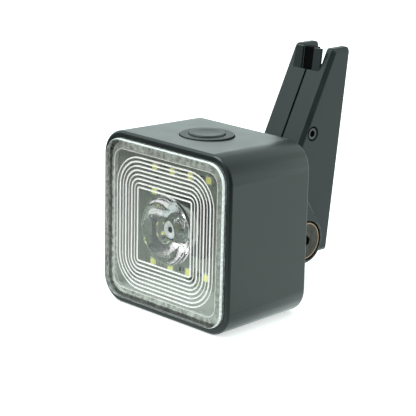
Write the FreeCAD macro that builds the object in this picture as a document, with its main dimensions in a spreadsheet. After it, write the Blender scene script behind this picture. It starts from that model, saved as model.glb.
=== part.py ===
import FreeCAD, Part
import math
import os
import Sketcher
from FreeCAD import Rotation, Vector

# A square bicycle headlight on a folding arm, in millimetres.
# The lamp stands on its flat underside. The origin is the centre of that underside,
# -Y is the way the lens faces, +X is to the right of someone who looks at the lens,
# and +Z is up.

doc = FreeCAD.newDocument("headlight")
sheet = doc.addObject("Spreadsheet::Sheet", "Sizes")

DRIVING_SIZES = [
    # Lamp housing
    ("lamp_width", 36.0),
    ("lamp_height", 36.0),
    ("lamp_depth", 22.6),
    ("corner_radius", 5.4),
    ("side_taper", 0.5),
    ("top_taper", 0.5),
    ("front_chamfer", 0.4),
    ("back_chamfer", 0.35),
    ("rim_width", 1.4),
    ("chamber_wall", 2.5),
    ("chamber_radius", 3.2),
    ("web_thickness", 1.5),
    ("cavity_wall", 2.2),
    ("cavity_radius", 3.4),
    ("boss_width", 5.0),
    ("boss_length", 8.0),
    ("boss_inset", 2.4),
    ("wire_hole_size", 2.4),
    ("wire_hole_drop", 10.5),
    # Lens and optics
    ("lens_thickness", 2.8),
    ("lens_proud", 1.0),
    ("lens_bevel", 0.5),
    ("lens_gap", 0.05),
    ("window_inset", 3.5),
    ("window_radius", 2.5),
    ("window_depth", 0.6),
    ("ring_inset", 3.9),
    ("ring_pitch", 1.77),
    ("ring_depth", 0.18),
    ("ring_inner_radius", 0.3),
    ("gasket_thickness", 0.5),
    ("gasket_margin", 0.2),
    ("frame_gap", 0.1),
    ("frame_lip", 1.1),
    ("frame_slope", 18.0),
    ("led_board_thickness", 1.0),
    ("led_board_gap", 0.15),
    ("chip_size", 1.7),
    ("chip_height", 0.6),
    ("chip_pitch", 4.8),
    ("emitter_size", 3.4),
    ("emitter_height", 0.7),
    ("dome_diameter", 2.8),
    ("dome_height", 1.1),
    ("optic_diameter", 14.0),
    ("optic_gap", 0.3),
    ("optic_lip", 0.7),
    ("optic_foot_diameter", 6.0),
    ("dimple_diameter", 5.0),
    ("dimple_depth", 1.5),
    ("led_pocket_diameter", 4.2),
    ("led_pocket_depth", 1.7),
    ("holder_bore", 9.0),
    ("holder_wall", 0.9),
    ("holder_height", 2.2),
    ("holder_gap", 0.05),
    # Electronics
    ("pad_thickness", 0.5),
    ("pad_margin", 1.0),
    ("battery_radius", 1.2),
    ("battery_side_gap", 5.2),
    ("battery_port_gap", 2.0),
    ("battery_floor_gap", 0.6),
    ("battery_top_gap", 0.95),
    ("battery_back_gap", 1.2),
    ("board_thickness", 1.0),
    ("main_board_gap", 0.2),
    ("board_end_gap", 0.3),
    ("board_back_gap", 1.1),
    ("inductor_size", 3.2),
    ("inductor_height", 1.8),
    ("package_size", 3.6),
    ("package_height", 0.9),
    ("package_margin", 0.5),
    ("socket_thickness", 3.2),
    ("socket_height", 9.0),
    ("socket_depth", 6.4),
    ("socket_radius", 1.5),
    ("socket_shell", 0.3),
    ("socket_back_wall", 0.8),
    ("socket_setback", 0.7),
    ("tongue_thickness", 0.7),
    ("tongue_height", 6.7),
    ("tongue_setback", 0.9),
    # Push button on top
    ("button_seat_diameter", 11.1),
    ("button_seat_depth", 1.2),
    ("button_travel", 0.45),
    ("cap_diameter", 7.2),
    ("cap_gap", 0.12),
    ("cap_flange_width", 0.65),
    ("cap_flange_height", 0.4),
    ("cap_proud", 0.3),
    ("cap_chamfer", 0.25),
    ("stem_diameter", 3.0),
    ("stem_length", 2.2),
    ("stem_gap", 0.2),
    ("seal_gap", 0.05),
    ("seal_lip", 0.4),
    ("switch_size", 4.2),
    ("switch_height", 1.4),
    ("switch_gap", 0.1),
    ("switch_clearance", 0.4),
    ("plunger_diameter", 1.9),
    ("plunger_height", 0.4),
    ("button_board_width", 9.6),
    ("button_board_depth", 5.8),
    ("button_board_thickness", 0.8),
    ("button_board_gap", 0.15),
    # Back plate and its hinge ears
    ("plate_thickness", 2.0),
    ("plate_lap", 0.7),
    ("plate_gap", 0.08),
    ("plate_seal_thickness", 0.4),
    ("plate_screw_diameter", 2.0),
    ("plate_screw_head", 3.8),
    ("plate_screw_head_height", 1.0),
    ("plate_screw_length", 7.0),
    ("screw_gap", 0.05),
    ("ear_gap", 0.3),
    ("ear_thickness", 2.25),
    ("ear_radius", 4.7),
    ("ear_top_margin", 1.66),
    ("ear_lower_lean", 8.0),
    ("ear_shelf", 2.0),
    ("ear_root", 0.5),
    ("hinge_reach", 10.5),
    ("hinge_z", 11.26),
    ("hinge_screw_diameter", 4.0),
    ("hinge_bore_gap", 0.06),
    ("hinge_head_diameter", 8.0),
    ("hinge_head_height", 1.3),
    ("hinge_head_chamfer", 0.35),
    ("hinge_head_gap", 0.3),
    ("hinge_head_sink", 0.1),
    ("hinge_hex", 2.0),
    ("hinge_hex_depth", 0.9),
    ("nut_slot_width", 1.2),
    ("nut_slot_depth", 0.5),
    # Charging port and its rubber flap
    ("flap_width", 5.2),
    ("flap_height", 12.4),
    ("flap_thickness", 0.9),
    ("flap_gap", 0.3),
    ("flap_corner", 1.2),
    ("flap_lip_height", 0.8),
    ("flap_lip_depth", 0.5),
    ("flap_lip_inset", 0.6),
    ("plug_depth", 0.7),
    ("plug_gap", 0.3),
    ("port_gap", 0.35),
    # Folding arm
    ("arm_half_width", 5.65),
    ("cheek_thickness", 2.1),
    ("nose_gap", 1.3),
    ("arm_back_distance", 10.28),
    ("arm_back_lean", 6.64),
    ("arm_front_lean", 26.88),
    ("arm_bottom_z", 6.8),
    ("arm_top_z", 50.15),
    ("fork_floor_z", 45.5),
    ("front_wall", 1.1),
    ("slit_width", 0.44),
    ("tab_inner", 1.5),
    ("tab_depth", 0.6),
    ("tab_root", 0.6),
    ("tip_radius", 0.9),
    ("cheek_chamfer", 0.8),
    ("cut_margin", 3.0),
    ("pinch_z", 33.14),
    ("pinch_inset", 2.5),
    ("pinch_boss_diameter", 4.8),
    ("pinch_screw_diameter", 1.8),
    ("pinch_head_diameter", 2.8),
    ("pinch_head_height", 1.6),
    ("pinch_head_sink", 0.1),
    ("pinch_head_gap", 0.15),
    ("pinch_hex", 1.3),
    ("pinch_hex_depth", 0.8),
    ("insert_width", 3.2),
    ("insert_length", 3.0),
    ("sleeve_diameter", 6.4),
    ("sleeve_gap", 0.05),
    ("liner_thickness", 0.8),
    ("liner_gap", 0.05),
    ("liner_boss_gap", 0.3),
    ("liner_recess", 0.5),
    ("liner_block_depth", 1.7),
    ("liner_top_gap", 0.05),
]

RING_COUNT = 4
CHIPS_PER_SIDE = 5
EDGE_SAMPLES = 5
TOUCHING = 1e-4
QUARTER_TURN = math.pi / 2

for row, (alias, size) in enumerate(DRIVING_SIZES, start=1):
    sheet.set(f"A{row}", alias)
    sheet.set(f"B{row}", str(size))
    sheet.setAlias(f"B{row}", alias)
doc.recompute()

nodes = []


# Places and widths that several pieces share, as expressions of the sizes

FRONT = "(-Sizes.lamp_depth / 2)"
BACK = "(Sizes.lamp_depth / 2)"
MIDDLE_Z = "(Sizes.lamp_height / 2)"

SEAT_WIDTH = "(Sizes.lamp_width - 2 * Sizes.rim_width)"
SEAT_HEIGHT = "(Sizes.lamp_height - 2 * Sizes.rim_width)"
SEAT_RADIUS = "(Sizes.corner_radius - Sizes.rim_width)"
LENS_BACK = "(Sizes.lens_thickness - Sizes.lens_proud)"
SEAT_DEPTH = f"({LENS_BACK} + Sizes.gasket_thickness)"

CHAMBER_WIDTH = "(Sizes.lamp_width - 2 * Sizes.chamber_wall)"
CHAMBER_HEIGHT = "(Sizes.lamp_height - 2 * Sizes.chamber_wall)"
CHAMBER_DEPTH = "((Sizes.lamp_depth - Sizes.switch_size) / 2 - Sizes.switch_clearance)"
LED_DEPTH = f"({CHAMBER_DEPTH} - Sizes.led_board_thickness)"
WEB_BACK = f"({CHAMBER_DEPTH} + Sizes.web_thickness)"

CAVITY_WIDTH = "(Sizes.lamp_width - 2 * Sizes.cavity_wall)"
CAVITY_HEIGHT = "(Sizes.lamp_height - 2 * Sizes.cavity_wall)"
RECESS_WIDTH = f"({CAVITY_WIDTH} + 2 * Sizes.plate_lap)"
RECESS_HEIGHT = f"({CAVITY_HEIGHT} + 2 * Sizes.plate_lap)"
RECESS_RADIUS = "(Sizes.cavity_radius + Sizes.plate_lap)"
RECESS_DEPTH = "(Sizes.plate_thickness + Sizes.plate_seal_thickness)"
BOSS_X = f"({CAVITY_WIDTH} / 2 - Sizes.boss_inset)"
BOSS_Z = f"({CAVITY_HEIGHT} / 2 - Sizes.boss_inset)"

TOP_Z = "(Sizes.lamp_height - Sizes.top_taper / 2)"
BUTTON_FLOOR_Z = f"({TOP_Z} - Sizes.button_seat_depth)"
CAP_REST = "(Sizes.button_travel + Sizes.cap_gap)"
SEAL_LIP_START = f"({CAP_REST} + Sizes.cap_flange_height + Sizes.cap_gap)"
SEAL_TOP = f"({SEAL_LIP_START} + Sizes.seal_lip)"
CAP_FLANGE_DIAMETER = "(Sizes.cap_diameter + 2 * Sizes.cap_flange_width)"
SWITCH_BASE_Z = (
    f"({BUTTON_FLOOR_Z} + Sizes.cap_gap - Sizes.stem_length - Sizes.switch_gap"
    " - Sizes.plunger_height - Sizes.switch_height)"
)
BUTTON_BOARD_Z = f"({SWITCH_BASE_Z} - Sizes.button_board_thickness)"

MAIN_BOARD_X = f"(-{CAVITY_WIDTH} / 2 + Sizes.main_board_gap)"
BOARD_FACE_X = f"({MAIN_BOARD_X} + Sizes.board_thickness)"
PORT_X = f"({BOARD_FACE_X} + Sizes.socket_thickness / 2)"
MAIN_BOARD_HEIGHT = (
    f"({CAVITY_HEIGHT} - 2 * (Sizes.boss_inset + Sizes.boss_width / 2"
    " + Sizes.board_end_gap))"
)
BEHIND_WEB = f"(Sizes.lamp_depth - Sizes.plate_thickness - {WEB_BACK})"
MAIN_BOARD_DEPTH = f"({BEHIND_WEB} - Sizes.main_board_gap - Sizes.board_back_gap)"
FLAP_SEAT_DEPTH = "(Sizes.flap_thickness + Sizes.flap_gap)"
SOCKET_MOUTH = f"({FLAP_SEAT_DEPTH} + Sizes.socket_setback)"
FLAP_AXIS_Z = f"({MIDDLE_Z} - Sizes.flap_height / 2 + Sizes.flap_thickness / 2)"

BATTERY_LEFT = f"({PORT_X} + Sizes.socket_thickness / 2 + Sizes.battery_port_gap)"
BATTERY_WIDTH = f"({CAVITY_WIDTH} / 2 - Sizes.battery_side_gap - {BATTERY_LEFT})"
BATTERY_LOW = "(Sizes.cavity_wall + Sizes.battery_floor_gap)"
BATTERY_HEIGHT = f"({BUTTON_BOARD_Z} - Sizes.battery_top_gap - {BATTERY_LOW})"
BATTERY_DEPTH = f"({BEHIND_WEB} - Sizes.pad_thickness - Sizes.battery_back_gap)"

EAR_INNER = "(Sizes.arm_half_width + Sizes.ear_gap)"
EAR_OUTER = f"({EAR_INNER} + Sizes.ear_thickness)"
HINGE_Y = f"({BACK} + Sizes.hinge_reach)"
HINGE_BORE = "(Sizes.hinge_screw_diameter + 2 * Sizes.hinge_bore_gap)"
HEAD_SEAT_DEPTH = "(Sizes.hinge_head_height + Sizes.hinge_head_sink)"
HEAD_SEAT_X = f"({EAR_OUTER} - {HEAD_SEAT_DEPTH})"

CHEEK_INNER = "(Sizes.arm_half_width - Sizes.cheek_thickness)"
NOSE_RADIUS = "(Sizes.hinge_reach - Sizes.nose_gap)"
CHANNEL_RADIUS = f"({NOSE_RADIUS} - Sizes.front_wall)"
ARM_BOTTOM = "(Sizes.arm_bottom_z - Sizes.hinge_z)"
ARM_TOP = "(Sizes.arm_top_z - Sizes.hinge_z)"
FORK_FLOOR = "(Sizes.fork_floor_z - Sizes.hinge_z)"
PINCH_UP = "(Sizes.pinch_z - Sizes.hinge_z)"


def cosine(angle):
    """The cosine of an angle in degrees, as an expression."""
    return f"cos({angle} * 1 deg)"


def sine(angle):
    """The sine of an angle in degrees, as an expression."""
    return f"sin({angle} * 1 deg)"


def on_front(distance, height):
    """How far behind the hinge the sloped front is, a distance off it, at a height."""
    lean = "Sizes.arm_front_lean"
    return f"(({height} * {sine(lean)} - {distance}) / {cosine(lean)})"


def on_back(height):
    """How far behind the hinge the arm's back is, at a height above the hinge."""
    lean = "Sizes.arm_back_lean"
    return f"((Sizes.arm_back_distance + {height} * {sine(lean)}) / {cosine(lean)})"


def upright(start, rise):
    """Where a line that is parallel to the arm's back has got to after a rise."""
    return f"({start} + ({rise}) * tan(Sizes.arm_back_lean * 1 deg))"


PINCH_Y = on_front(f"({NOSE_RADIUS} - Sizes.pinch_inset)", PINCH_UP)
TAB_FRONT = on_front(NOSE_RADIUS, FORK_FLOOR)


# Helpers that bind an object to the sizes

def value(expression):
    """The number that an expression of the sizes has now."""
    return float(sheet.evalExpression(expression))


def bind(item, name, expression):
    """Ties a property of an object to an expression of the sizes."""
    item.setExpression(name, expression)


def place(item, x="0", y="0", z="0"):
    """Puts an object where three expressions say."""
    for axis, expression in zip("xyz", (x, y, z)):
        bind(item, f"Placement.Base.{axis}", expression)


def point_along(item, axis):
    """Turns an object that was made along +Z so that it points along another axis."""
    item.Placement.Rotation = Rotation(Vector(0, 0, 1), axis)


def keep(item, label):
    """Names a finished sub-part and lists it for export."""
    item.Label = label
    nodes.append(item)
    return item


def new_body(label, x="0", y="0", z="0"):
    """An empty body for one sub-part, placed where three expressions say."""
    body = doc.addObject("PartDesign::Body", label)
    place(body, x, y, z)
    return keep(body, label)


# Sketches

def new_sketch(body, role, offset="0"):
    """A sketch on one of a body's origin planes, moved along the axis it is square to."""
    sketch = body.newObject("Sketcher::SketchObject", f"{body.Name}_sketch")
    planes = body.Origin.OriginFeatures
    sketch.AttachmentSupport = [(next(item for item in planes if item.Role == role), "")]
    sketch.MapMode = "FlatFace"
    sign = "-" if role == "XZ_Plane" else ""
    bind(sketch, "AttachmentOffset.Base.z", f"{sign}({offset})")
    return sketch


def dimension(sketch, kind, where, expression):
    """Adds one dimension and ties it to the sizes."""
    index = sketch.addConstraint(Sketcher.Constraint(kind, *where, value(expression)))
    bind(sketch, f"Constraints[{index}]", expression)


def fix_point(sketch, geometry, end, x, y):
    """Ties one point of a sketch to its distances from the sketch's origin."""
    dimension(sketch, "DistanceX", (-1, 1, geometry, end), x)
    dimension(sketch, "DistanceY", (-1, 1, geometry, end), y)


def join(sketch, kind, first, second):
    """Joins the end of one piece of a sketch to the start of the next."""
    sketch.addConstraint(Sketcher.Constraint(kind, *first, *second))


def add_circle(sketch, diameter, x="0", y="0"):
    """A circle about (x, y)."""
    centre = Vector(value(x), value(y), 0)
    circle = sketch.addGeometry(Part.Circle(centre, Vector(0, 0, 1), value(diameter) / 2))
    dimension(sketch, "Diameter", (circle,), diameter)
    fix_point(sketch, circle, 3, x, y)


def arc_between(start, end, radius):
    """The arc of a radius that runs anticlockwise from one point to another."""
    chord = end - start
    height = max(radius ** 2 - (chord.Length / 2) ** 2, 0) ** 0.5
    inward = Vector(-chord.y, chord.x, 0).normalize()
    centre = (start + end) * 0.5 + inward * height
    first = Vector(1, 0, 0).getAngle(start - centre)
    last = Vector(1, 0, 0).getAngle(end - centre)
    first = first if start.y >= centre.y else -first
    last = last if end.y >= centre.y else -last
    return Part.ArcOfCircle(Part.Circle(centre, Vector(0, 0, 1), radius), first, last)


def add_outline(sketch, points, arcs=None):
    """A closed outline through points, anticlockwise, with arcs of given radii where
    the number of the point that each arc starts from is listed."""
    arcs = arcs or {}
    spots = [Vector(value(x), value(y), 0) for x, y in points]
    edges = []
    for number, spot in enumerate(spots):
        following = spots[(number + 1) % len(spots)]
        if number in arcs:
            edge = arc_between(spot, following, value(arcs[number]))
        else:
            edge = Part.LineSegment(spot, following)
        edges.append(sketch.addGeometry(edge))
    for number, edge in enumerate(edges):
        join(sketch, "Coincident", (edge, 2), (edges[(number + 1) % len(edges)], 1))
        fix_point(sketch, edge, 1, *points[number])
    for number, radius in arcs.items():
        dimension(sketch, "Radius", (edges[number],), radius)


def add_rectangle(sketch, left, right, low, high):
    """A plain rectangle between four distances from the sketch's origin."""
    add_outline(sketch, [(left, low), (right, low), (right, high), (left, high)])


def add_centred_rectangle(sketch, width, height, x="0", y="0"):
    """A plain rectangle centred on (x, y)."""
    add_rectangle(
        sketch, f"{x} - {width} / 2", f"{x} + {width} / 2",
        f"{y} - {height} / 2", f"{y} + {height} / 2",
    )


def add_rounded_rectangle(sketch, width, height, radius, x="0", y="0"):
    """A rectangle with round corners, centred on (x, y)."""
    half_width, half_height = value(width) / 2, value(height) / 2
    round_off = value(radius)
    centre = Vector(value(x), value(y), 0)
    corners = [(1, -1), (1, 1), (-1, 1), (-1, -1)]
    lines = []
    turns = []
    for number, (across, up) in enumerate(corners):
        middle = centre + Vector(
            across * (half_width - round_off), up * (half_height - round_off), 0
        )
        before = corners[number - 1]
        middle_before = centre + Vector(
            before[0] * (half_width - round_off), before[1] * (half_height - round_off), 0
        )
        outward = Vector(across + before[0], up + before[1], 0) * 0.5 * round_off
        line = Part.LineSegment(middle_before + outward, middle + outward)
        lines.append(sketch.addGeometry(line))
        start_angle = (number - 1) * QUARTER_TURN
        circle = Part.Circle(middle, Vector(0, 0, 1), round_off)
        arc = Part.ArcOfCircle(circle, start_angle, start_angle + QUARTER_TURN)
        turns.append(sketch.addGeometry(arc))
    for number, (line, arc) in enumerate(zip(lines, turns)):
        join(sketch, "Tangent", (line, 2), (arc, 1))
        join(sketch, "Tangent", (arc, 2), (lines[(number + 1) % len(lines)], 1))
        sketch.addConstraint(Sketcher.Constraint("Horizontal" if number % 2 == 0 else "Vertical", line))
    for arc in turns[1:]:
        sketch.addConstraint(Sketcher.Constraint("Equal", turns[0], arc))
    dimension(sketch, "Radius", (turns[0],), radius)
    dimension(sketch, "DistanceY", (-1, 1, lines[0], 1), f"{y} - {height} / 2")
    dimension(sketch, "DistanceX", (-1, 1, lines[1], 1), f"{x} + {width} / 2")
    dimension(sketch, "DistanceY", (-1, 1, lines[2], 1), f"{y} + {height} / 2")
    dimension(sketch, "DistanceX", (-1, 1, lines[3], 1), f"{x} - {width} / 2")


# Solid features. A direction is +1 or -1 along the axis that the sketch is square to.

def points_backwards(sketch, direction, cuts):
    """Whether a feature has to be reversed to run in a direction."""
    role = sketch.AttachmentSupport[0][0].Role
    normal = -1 if role == "XZ_Plane" else 1
    return (-normal if cuts else normal) != direction


def pad(body, sketch, length, direction):
    """Adds the sketched area, grown by a length."""
    feature = body.newObject("PartDesign::Pad", f"{body.Name}_pad")
    feature.Profile = sketch
    feature.Reversed = points_backwards(sketch, direction, cuts=False)
    bind(feature, "Length", length)
    return feature


def pocket(body, sketch, depth, direction, taper=None):
    """Cuts the sketched area, sunk by a depth."""
    feature = body.newObject("PartDesign::Pocket", f"{body.Name}_pocket")
    feature.Profile = sketch
    feature.Reversed = points_backwards(sketch, direction, cuts=True)
    bind(feature, "Length", depth)
    if taper:
        bind(feature, "TaperAngle", taper)
    return feature


def revolve(body, sketch, axis):
    """Turns the sketched area once round the sketch's horizontal or vertical axis."""
    feature = body.newObject("PartDesign::Revolution", f"{body.Name}_turned")
    feature.Profile = sketch
    feature.ReferenceAxis = (sketch, [axis])
    feature.Angle = 360
    return feature


def dress(body, kind, size_name, size, wanted):
    """Rounds or chamfers the edges whose points all pass a test."""
    doc.recompute()
    base = body.Tip
    names = [
        f"Edge{number}"
        for number, edge in enumerate(base.Shape.Edges, start=1)
        if all(wanted(point) for point in edge.discretize(EDGE_SAMPLES))
    ]
    feature = body.newObject(f"PartDesign::{kind}", f"{body.Name}_{kind.lower()}")
    feature.Base = (base, names)
    bind(feature, size_name, size)
    doc.recompute()


def level(axis, expression):
    """A test for points that lie at one height along an axis."""
    height = value(expression)
    return lambda point: abs(getattr(point, axis) - height) < TOUCHING


# Primitives

def cylinder(name, diameter, length, axis=Vector(0, 0, 1)):
    """A plain cylinder along an axis."""
    item = doc.addObject("Part::Cylinder", name)
    bind(item, "Radius", f"{diameter} / 2")
    bind(item, "Height", length)
    point_along(item, axis)
    return item


def box(name, width, depth, height, x, y, z):
    """A plain box from its low corner."""
    item = doc.addObject("Part::Box", name)
    bind(item, "Length", width)
    bind(item, "Width", depth)
    bind(item, "Height", height)
    place(item, x, y, z)
    return item


def fuse(name, items):
    """One solid out of several."""
    item = doc.addObject("Part::MultiFuse", name)
    item.Shapes = items
    return item


def group(label, items):
    """One sub-part made of several equal loose solids."""
    item = doc.addObject("Part::Compound", label)
    item.Links = items
    return keep(item, label)


# Lamp housing

def make_housing():
    """The square shell: a lens seat and light chamber in front, a web that carries the
    light board, and a cavity behind with a screw boss in two corners."""
    body = new_body("housing", "0", FRONT, MIDDLE_Z)
    half_width, half_height = "Sizes.lamp_width / 2", "Sizes.lamp_height / 2"
    shell = body.newObject("PartDesign::AdditiveWedge", "housing_shell")
    bind(shell, "Ymin", "0 mm")
    bind(shell, "Ymax", "Sizes.lamp_depth")
    for low, high, half in (("Xmin", "Xmax", half_width), ("Zmin", "Zmax", half_height)):
        bind(shell, low, f"-{half}")
        bind(shell, high, half)
    bind(shell, "X2min", f"-{half_width} + Sizes.side_taper")
    bind(shell, "X2max", f"{half_width} - Sizes.side_taper")
    bind(shell, "Z2min", f"-{half_height}")
    bind(shell, "Z2max", f"{half_height} - Sizes.top_taper")
    at_sides, at_levels = value(half_width), value(half_height)
    taper = value("Sizes.side_taper") + TOUCHING
    dress(
        body, "Fillet", "Radius", "Sizes.corner_radius",
        lambda point: at_sides - abs(point.x) < taper and at_levels - abs(point.z) < taper,
    )
    dress(body, "Chamfer", "Size", "Sizes.front_chamfer", level("y", "0"))
    dress(body, "Chamfer", "Size", "Sizes.back_chamfer", level("y", "Sizes.lamp_depth"))

    seat = new_sketch(body, "XZ_Plane")
    add_rounded_rectangle(seat, SEAT_WIDTH, SEAT_HEIGHT, SEAT_RADIUS)
    pocket(body, seat, SEAT_DEPTH, 1)
    chamber = new_sketch(body, "XZ_Plane")
    add_rounded_rectangle(chamber, CHAMBER_WIDTH, CHAMBER_HEIGHT, "Sizes.chamber_radius")
    pocket(body, chamber, CHAMBER_DEPTH, 1)
    cavity = new_sketch(body, "XZ_Plane", "Sizes.lamp_depth")
    add_rounded_rectangle(cavity, CAVITY_WIDTH, CAVITY_HEIGHT, "Sizes.cavity_radius")
    pocket(body, cavity, f"Sizes.lamp_depth - {WEB_BACK}", -1)
    recess = new_sketch(body, "XZ_Plane", "Sizes.lamp_depth")
    add_rounded_rectangle(recess, RECESS_WIDTH, RECESS_HEIGHT, RECESS_RADIUS)
    pocket(body, recess, RECESS_DEPTH, -1)

    bosses = new_sketch(body, "XZ_Plane", f"Sizes.lamp_depth - {RECESS_DEPTH}")
    pilots = new_sketch(body, "XZ_Plane", f"Sizes.lamp_depth - {RECESS_DEPTH}")
    for side in (-1, 1):
        x, z = f"{side} * {BOSS_X}", f"{side} * {BOSS_Z}"
        add_centred_rectangle(bosses, "Sizes.boss_width", "Sizes.boss_width", x, z)
        add_circle(pilots, "(Sizes.plate_screw_diameter + 2 * Sizes.screw_gap)", x, z)
    pad(body, bosses, "Sizes.boss_length", -1)
    pocket(body, pilots, "Sizes.plate_screw_length", -1)

    top = "Sizes.lamp_height / 2"
    half_depth = "Sizes.lamp_depth / 2"
    button_seat = new_sketch(body, "XY_Plane", top)
    add_circle(button_seat, "Sizes.button_seat_diameter", "0", half_depth)
    pocket(body, button_seat, f"{top} + {MIDDLE_Z} - {BUTTON_FLOOR_Z}", -1)
    stem_hole = new_sketch(body, "XY_Plane", top)
    add_circle(stem_hole, "(Sizes.stem_diameter + 2 * Sizes.stem_gap)", "0", half_depth)
    pocket(body, stem_hole, "Sizes.cavity_wall + Sizes.stem_gap", -1)

    notch = new_sketch(body, "XZ_Plane", WEB_BACK)
    half_notch = "(Sizes.button_board_width / 2 + Sizes.button_board_gap)"
    add_rectangle(
        notch, f"-{half_notch}", half_notch,
        f"{BUTTON_BOARD_Z} - {MIDDLE_Z}", f"{CAVITY_HEIGHT} / 2",
    )
    pocket(body, notch, "Sizes.web_thickness", -1)
    wire_hole = new_sketch(body, "XZ_Plane", WEB_BACK)
    size = "Sizes.wire_hole_size"
    add_centred_rectangle(wire_hole, size, size, "0", "-Sizes.wire_hole_drop")
    pocket(body, wire_hole, "Sizes.web_thickness", -1)


def make_plate_seal():
    """The flat seal between the housing's ledge and the back plate."""
    body = new_body("plate_seal", "0", f"{BACK} - {RECESS_DEPTH}", MIDDLE_Z)
    outer = new_sketch(body, "XZ_Plane")
    gap = "2 * Sizes.plate_gap"
    add_rounded_rectangle(
        outer, f"({RECESS_WIDTH} - {gap})", f"({RECESS_HEIGHT} - {gap})",
        f"({RECESS_RADIUS} - Sizes.plate_gap)",
    )
    add_rounded_rectangle(outer, CAVITY_WIDTH, CAVITY_HEIGHT, "Sizes.cavity_radius")
    pad(body, outer, "Sizes.plate_seal_thickness", 1)


# Lens and optics

def make_lens():
    """The clear square lens, bevelled in front, with nested square steps inside."""
    body = new_body("lens", "0", f"{FRONT} - Sizes.lens_proud", MIDDLE_Z)
    outline = new_sketch(body, "XZ_Plane")
    gap = "2 * Sizes.lens_gap"
    add_rounded_rectangle(
        outline, f"({SEAT_WIDTH} - {gap})", f"({SEAT_HEIGHT} - {gap})",
        f"({SEAT_RADIUS} - Sizes.lens_gap)",
    )
    pad(body, outline, "Sizes.lens_thickness", 1)
    dress(body, "Chamfer", "Size", "Sizes.lens_bevel", level("y", "0"))
    window = new_sketch(body, "XZ_Plane", "Sizes.lens_thickness")
    add_rounded_rectangle(
        window, "(Sizes.lamp_width - 2 * Sizes.window_inset)",
        "(Sizes.lamp_height - 2 * Sizes.window_inset)", "Sizes.window_radius",
    )
    pocket(body, window, "Sizes.window_depth", -1)
    for number in range(RING_COUNT):
        inset = f"(Sizes.ring_inset + {number} * Sizes.ring_pitch)"
        radius = f"(Sizes.ring_inner_radius + {RING_COUNT - 1 - number} * Sizes.ring_pitch)"
        depth = f"(Sizes.window_depth + {number} * Sizes.ring_depth)"
        ring = new_sketch(body, "XZ_Plane", f"Sizes.lens_thickness - {depth}")
        add_rounded_rectangle(
            ring, f"(Sizes.lamp_width - 2 * {inset})", f"(Sizes.lamp_height - 2 * {inset})",
            radius,
        )
        pocket(body, ring, "Sizes.ring_depth", -1)


def make_lens_gasket():
    """The thin silicone frame that the lens is clamped on."""
    body = new_body("lens_gasket", "0", f"{FRONT} + {LENS_BACK}", MIDDLE_Z)
    frame = new_sketch(body, "XZ_Plane")
    gap, margin = "2 * Sizes.lens_gap", "2 * Sizes.gasket_margin"
    add_rounded_rectangle(
        frame, f"({SEAT_WIDTH} - {gap})", f"({SEAT_HEIGHT} - {gap})",
        f"({SEAT_RADIUS} - Sizes.lens_gap)",
    )
    add_rounded_rectangle(
        frame, f"({CHAMBER_WIDTH} + {margin})", f"({CHAMBER_HEIGHT} + {margin})",
        "(Sizes.chamber_radius + Sizes.gasket_margin)",
    )
    pad(body, frame, "Sizes.gasket_thickness", 1)


def make_light_frame():
    """The white funnel between the lens and the light board."""
    body = new_body("light_frame", "0", f"{FRONT} + {LENS_BACK} + Sizes.frame_gap", MIDDLE_Z)
    depth = f"({LED_DEPTH} - {LENS_BACK} - Sizes.frame_gap)"
    gap = "2 * Sizes.frame_gap"
    outer = new_sketch(body, "XZ_Plane")
    add_rounded_rectangle(
        outer, f"({CHAMBER_WIDTH} - {gap})", f"({CHAMBER_HEIGHT} - {gap})",
        "(Sizes.chamber_radius - Sizes.frame_gap)",
    )
    pad(body, outer, depth, 1)
    mouth = new_sketch(body, "XZ_Plane")
    lip = "2 * (Sizes.frame_gap + Sizes.frame_lip)"
    add_centred_rectangle(mouth, f"({CHAMBER_WIDTH} - {lip})", f"({CHAMBER_HEIGHT} - {lip})")
    pocket(body, mouth, depth, 1, "-Sizes.frame_slope")


def make_led_board():
    """The metal-core board that carries the lights."""
    body = new_body("led_board", "0", f"{FRONT} + {LED_DEPTH}", MIDDLE_Z)
    gap = "2 * Sizes.led_board_gap"
    outline = new_sketch(body, "XZ_Plane")
    add_rounded_rectangle(
        outline, f"({CHAMBER_WIDTH} - {gap})", f"({CHAMBER_HEIGHT} - {gap})",
        "Sizes.chamber_radius",
    )
    pad(body, outline, "Sizes.led_board_thickness", 1)
    wire_hole = new_sketch(body, "XZ_Plane")
    size = "Sizes.wire_hole_size"
    add_centred_rectangle(wire_hole, size, size, "0", "-Sizes.wire_hole_drop")
    pocket(body, wire_hole, "Sizes.led_board_thickness", 1)


def make_chip_leds():
    """The small lights in a square round the main one."""
    reach = CHIPS_PER_SIDE // 2
    chips = []
    for column in range(-reach, reach + 1):
        for rank in range(-reach, reach + 1):
            if max(abs(column), abs(rank)) == reach:
                chips.append(box(
                    "chip_led", "Sizes.chip_size", "Sizes.chip_height", "Sizes.chip_size",
                    f"{column} * Sizes.chip_pitch - Sizes.chip_size / 2",
                    f"{FRONT} + {LED_DEPTH} - Sizes.chip_height",
                    f"{MIDDLE_Z} + {rank} * Sizes.chip_pitch - Sizes.chip_size / 2",
                ))
    group("chip_leds", chips)


def make_main_led():
    """The main light: a square package with a round raised lens."""
    half = "Sizes.emitter_size / 2"
    package = box(
        "emitter_package", "Sizes.emitter_size", "Sizes.emitter_size",
        "Sizes.emitter_height", f"-{half}", f"-{half}", "0",
    )
    dome = cylinder(
        "emitter_dome", "Sizes.dome_diameter", "(Sizes.emitter_height + Sizes.dome_height)"
    )
    emitter = fuse("main_led", [package, dome])
    point_along(emitter, Vector(0, -1, 0))
    place(emitter, "0", f"{FRONT} + {LED_DEPTH}", MIDDLE_Z)
    keep(emitter, "main_led")


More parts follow.
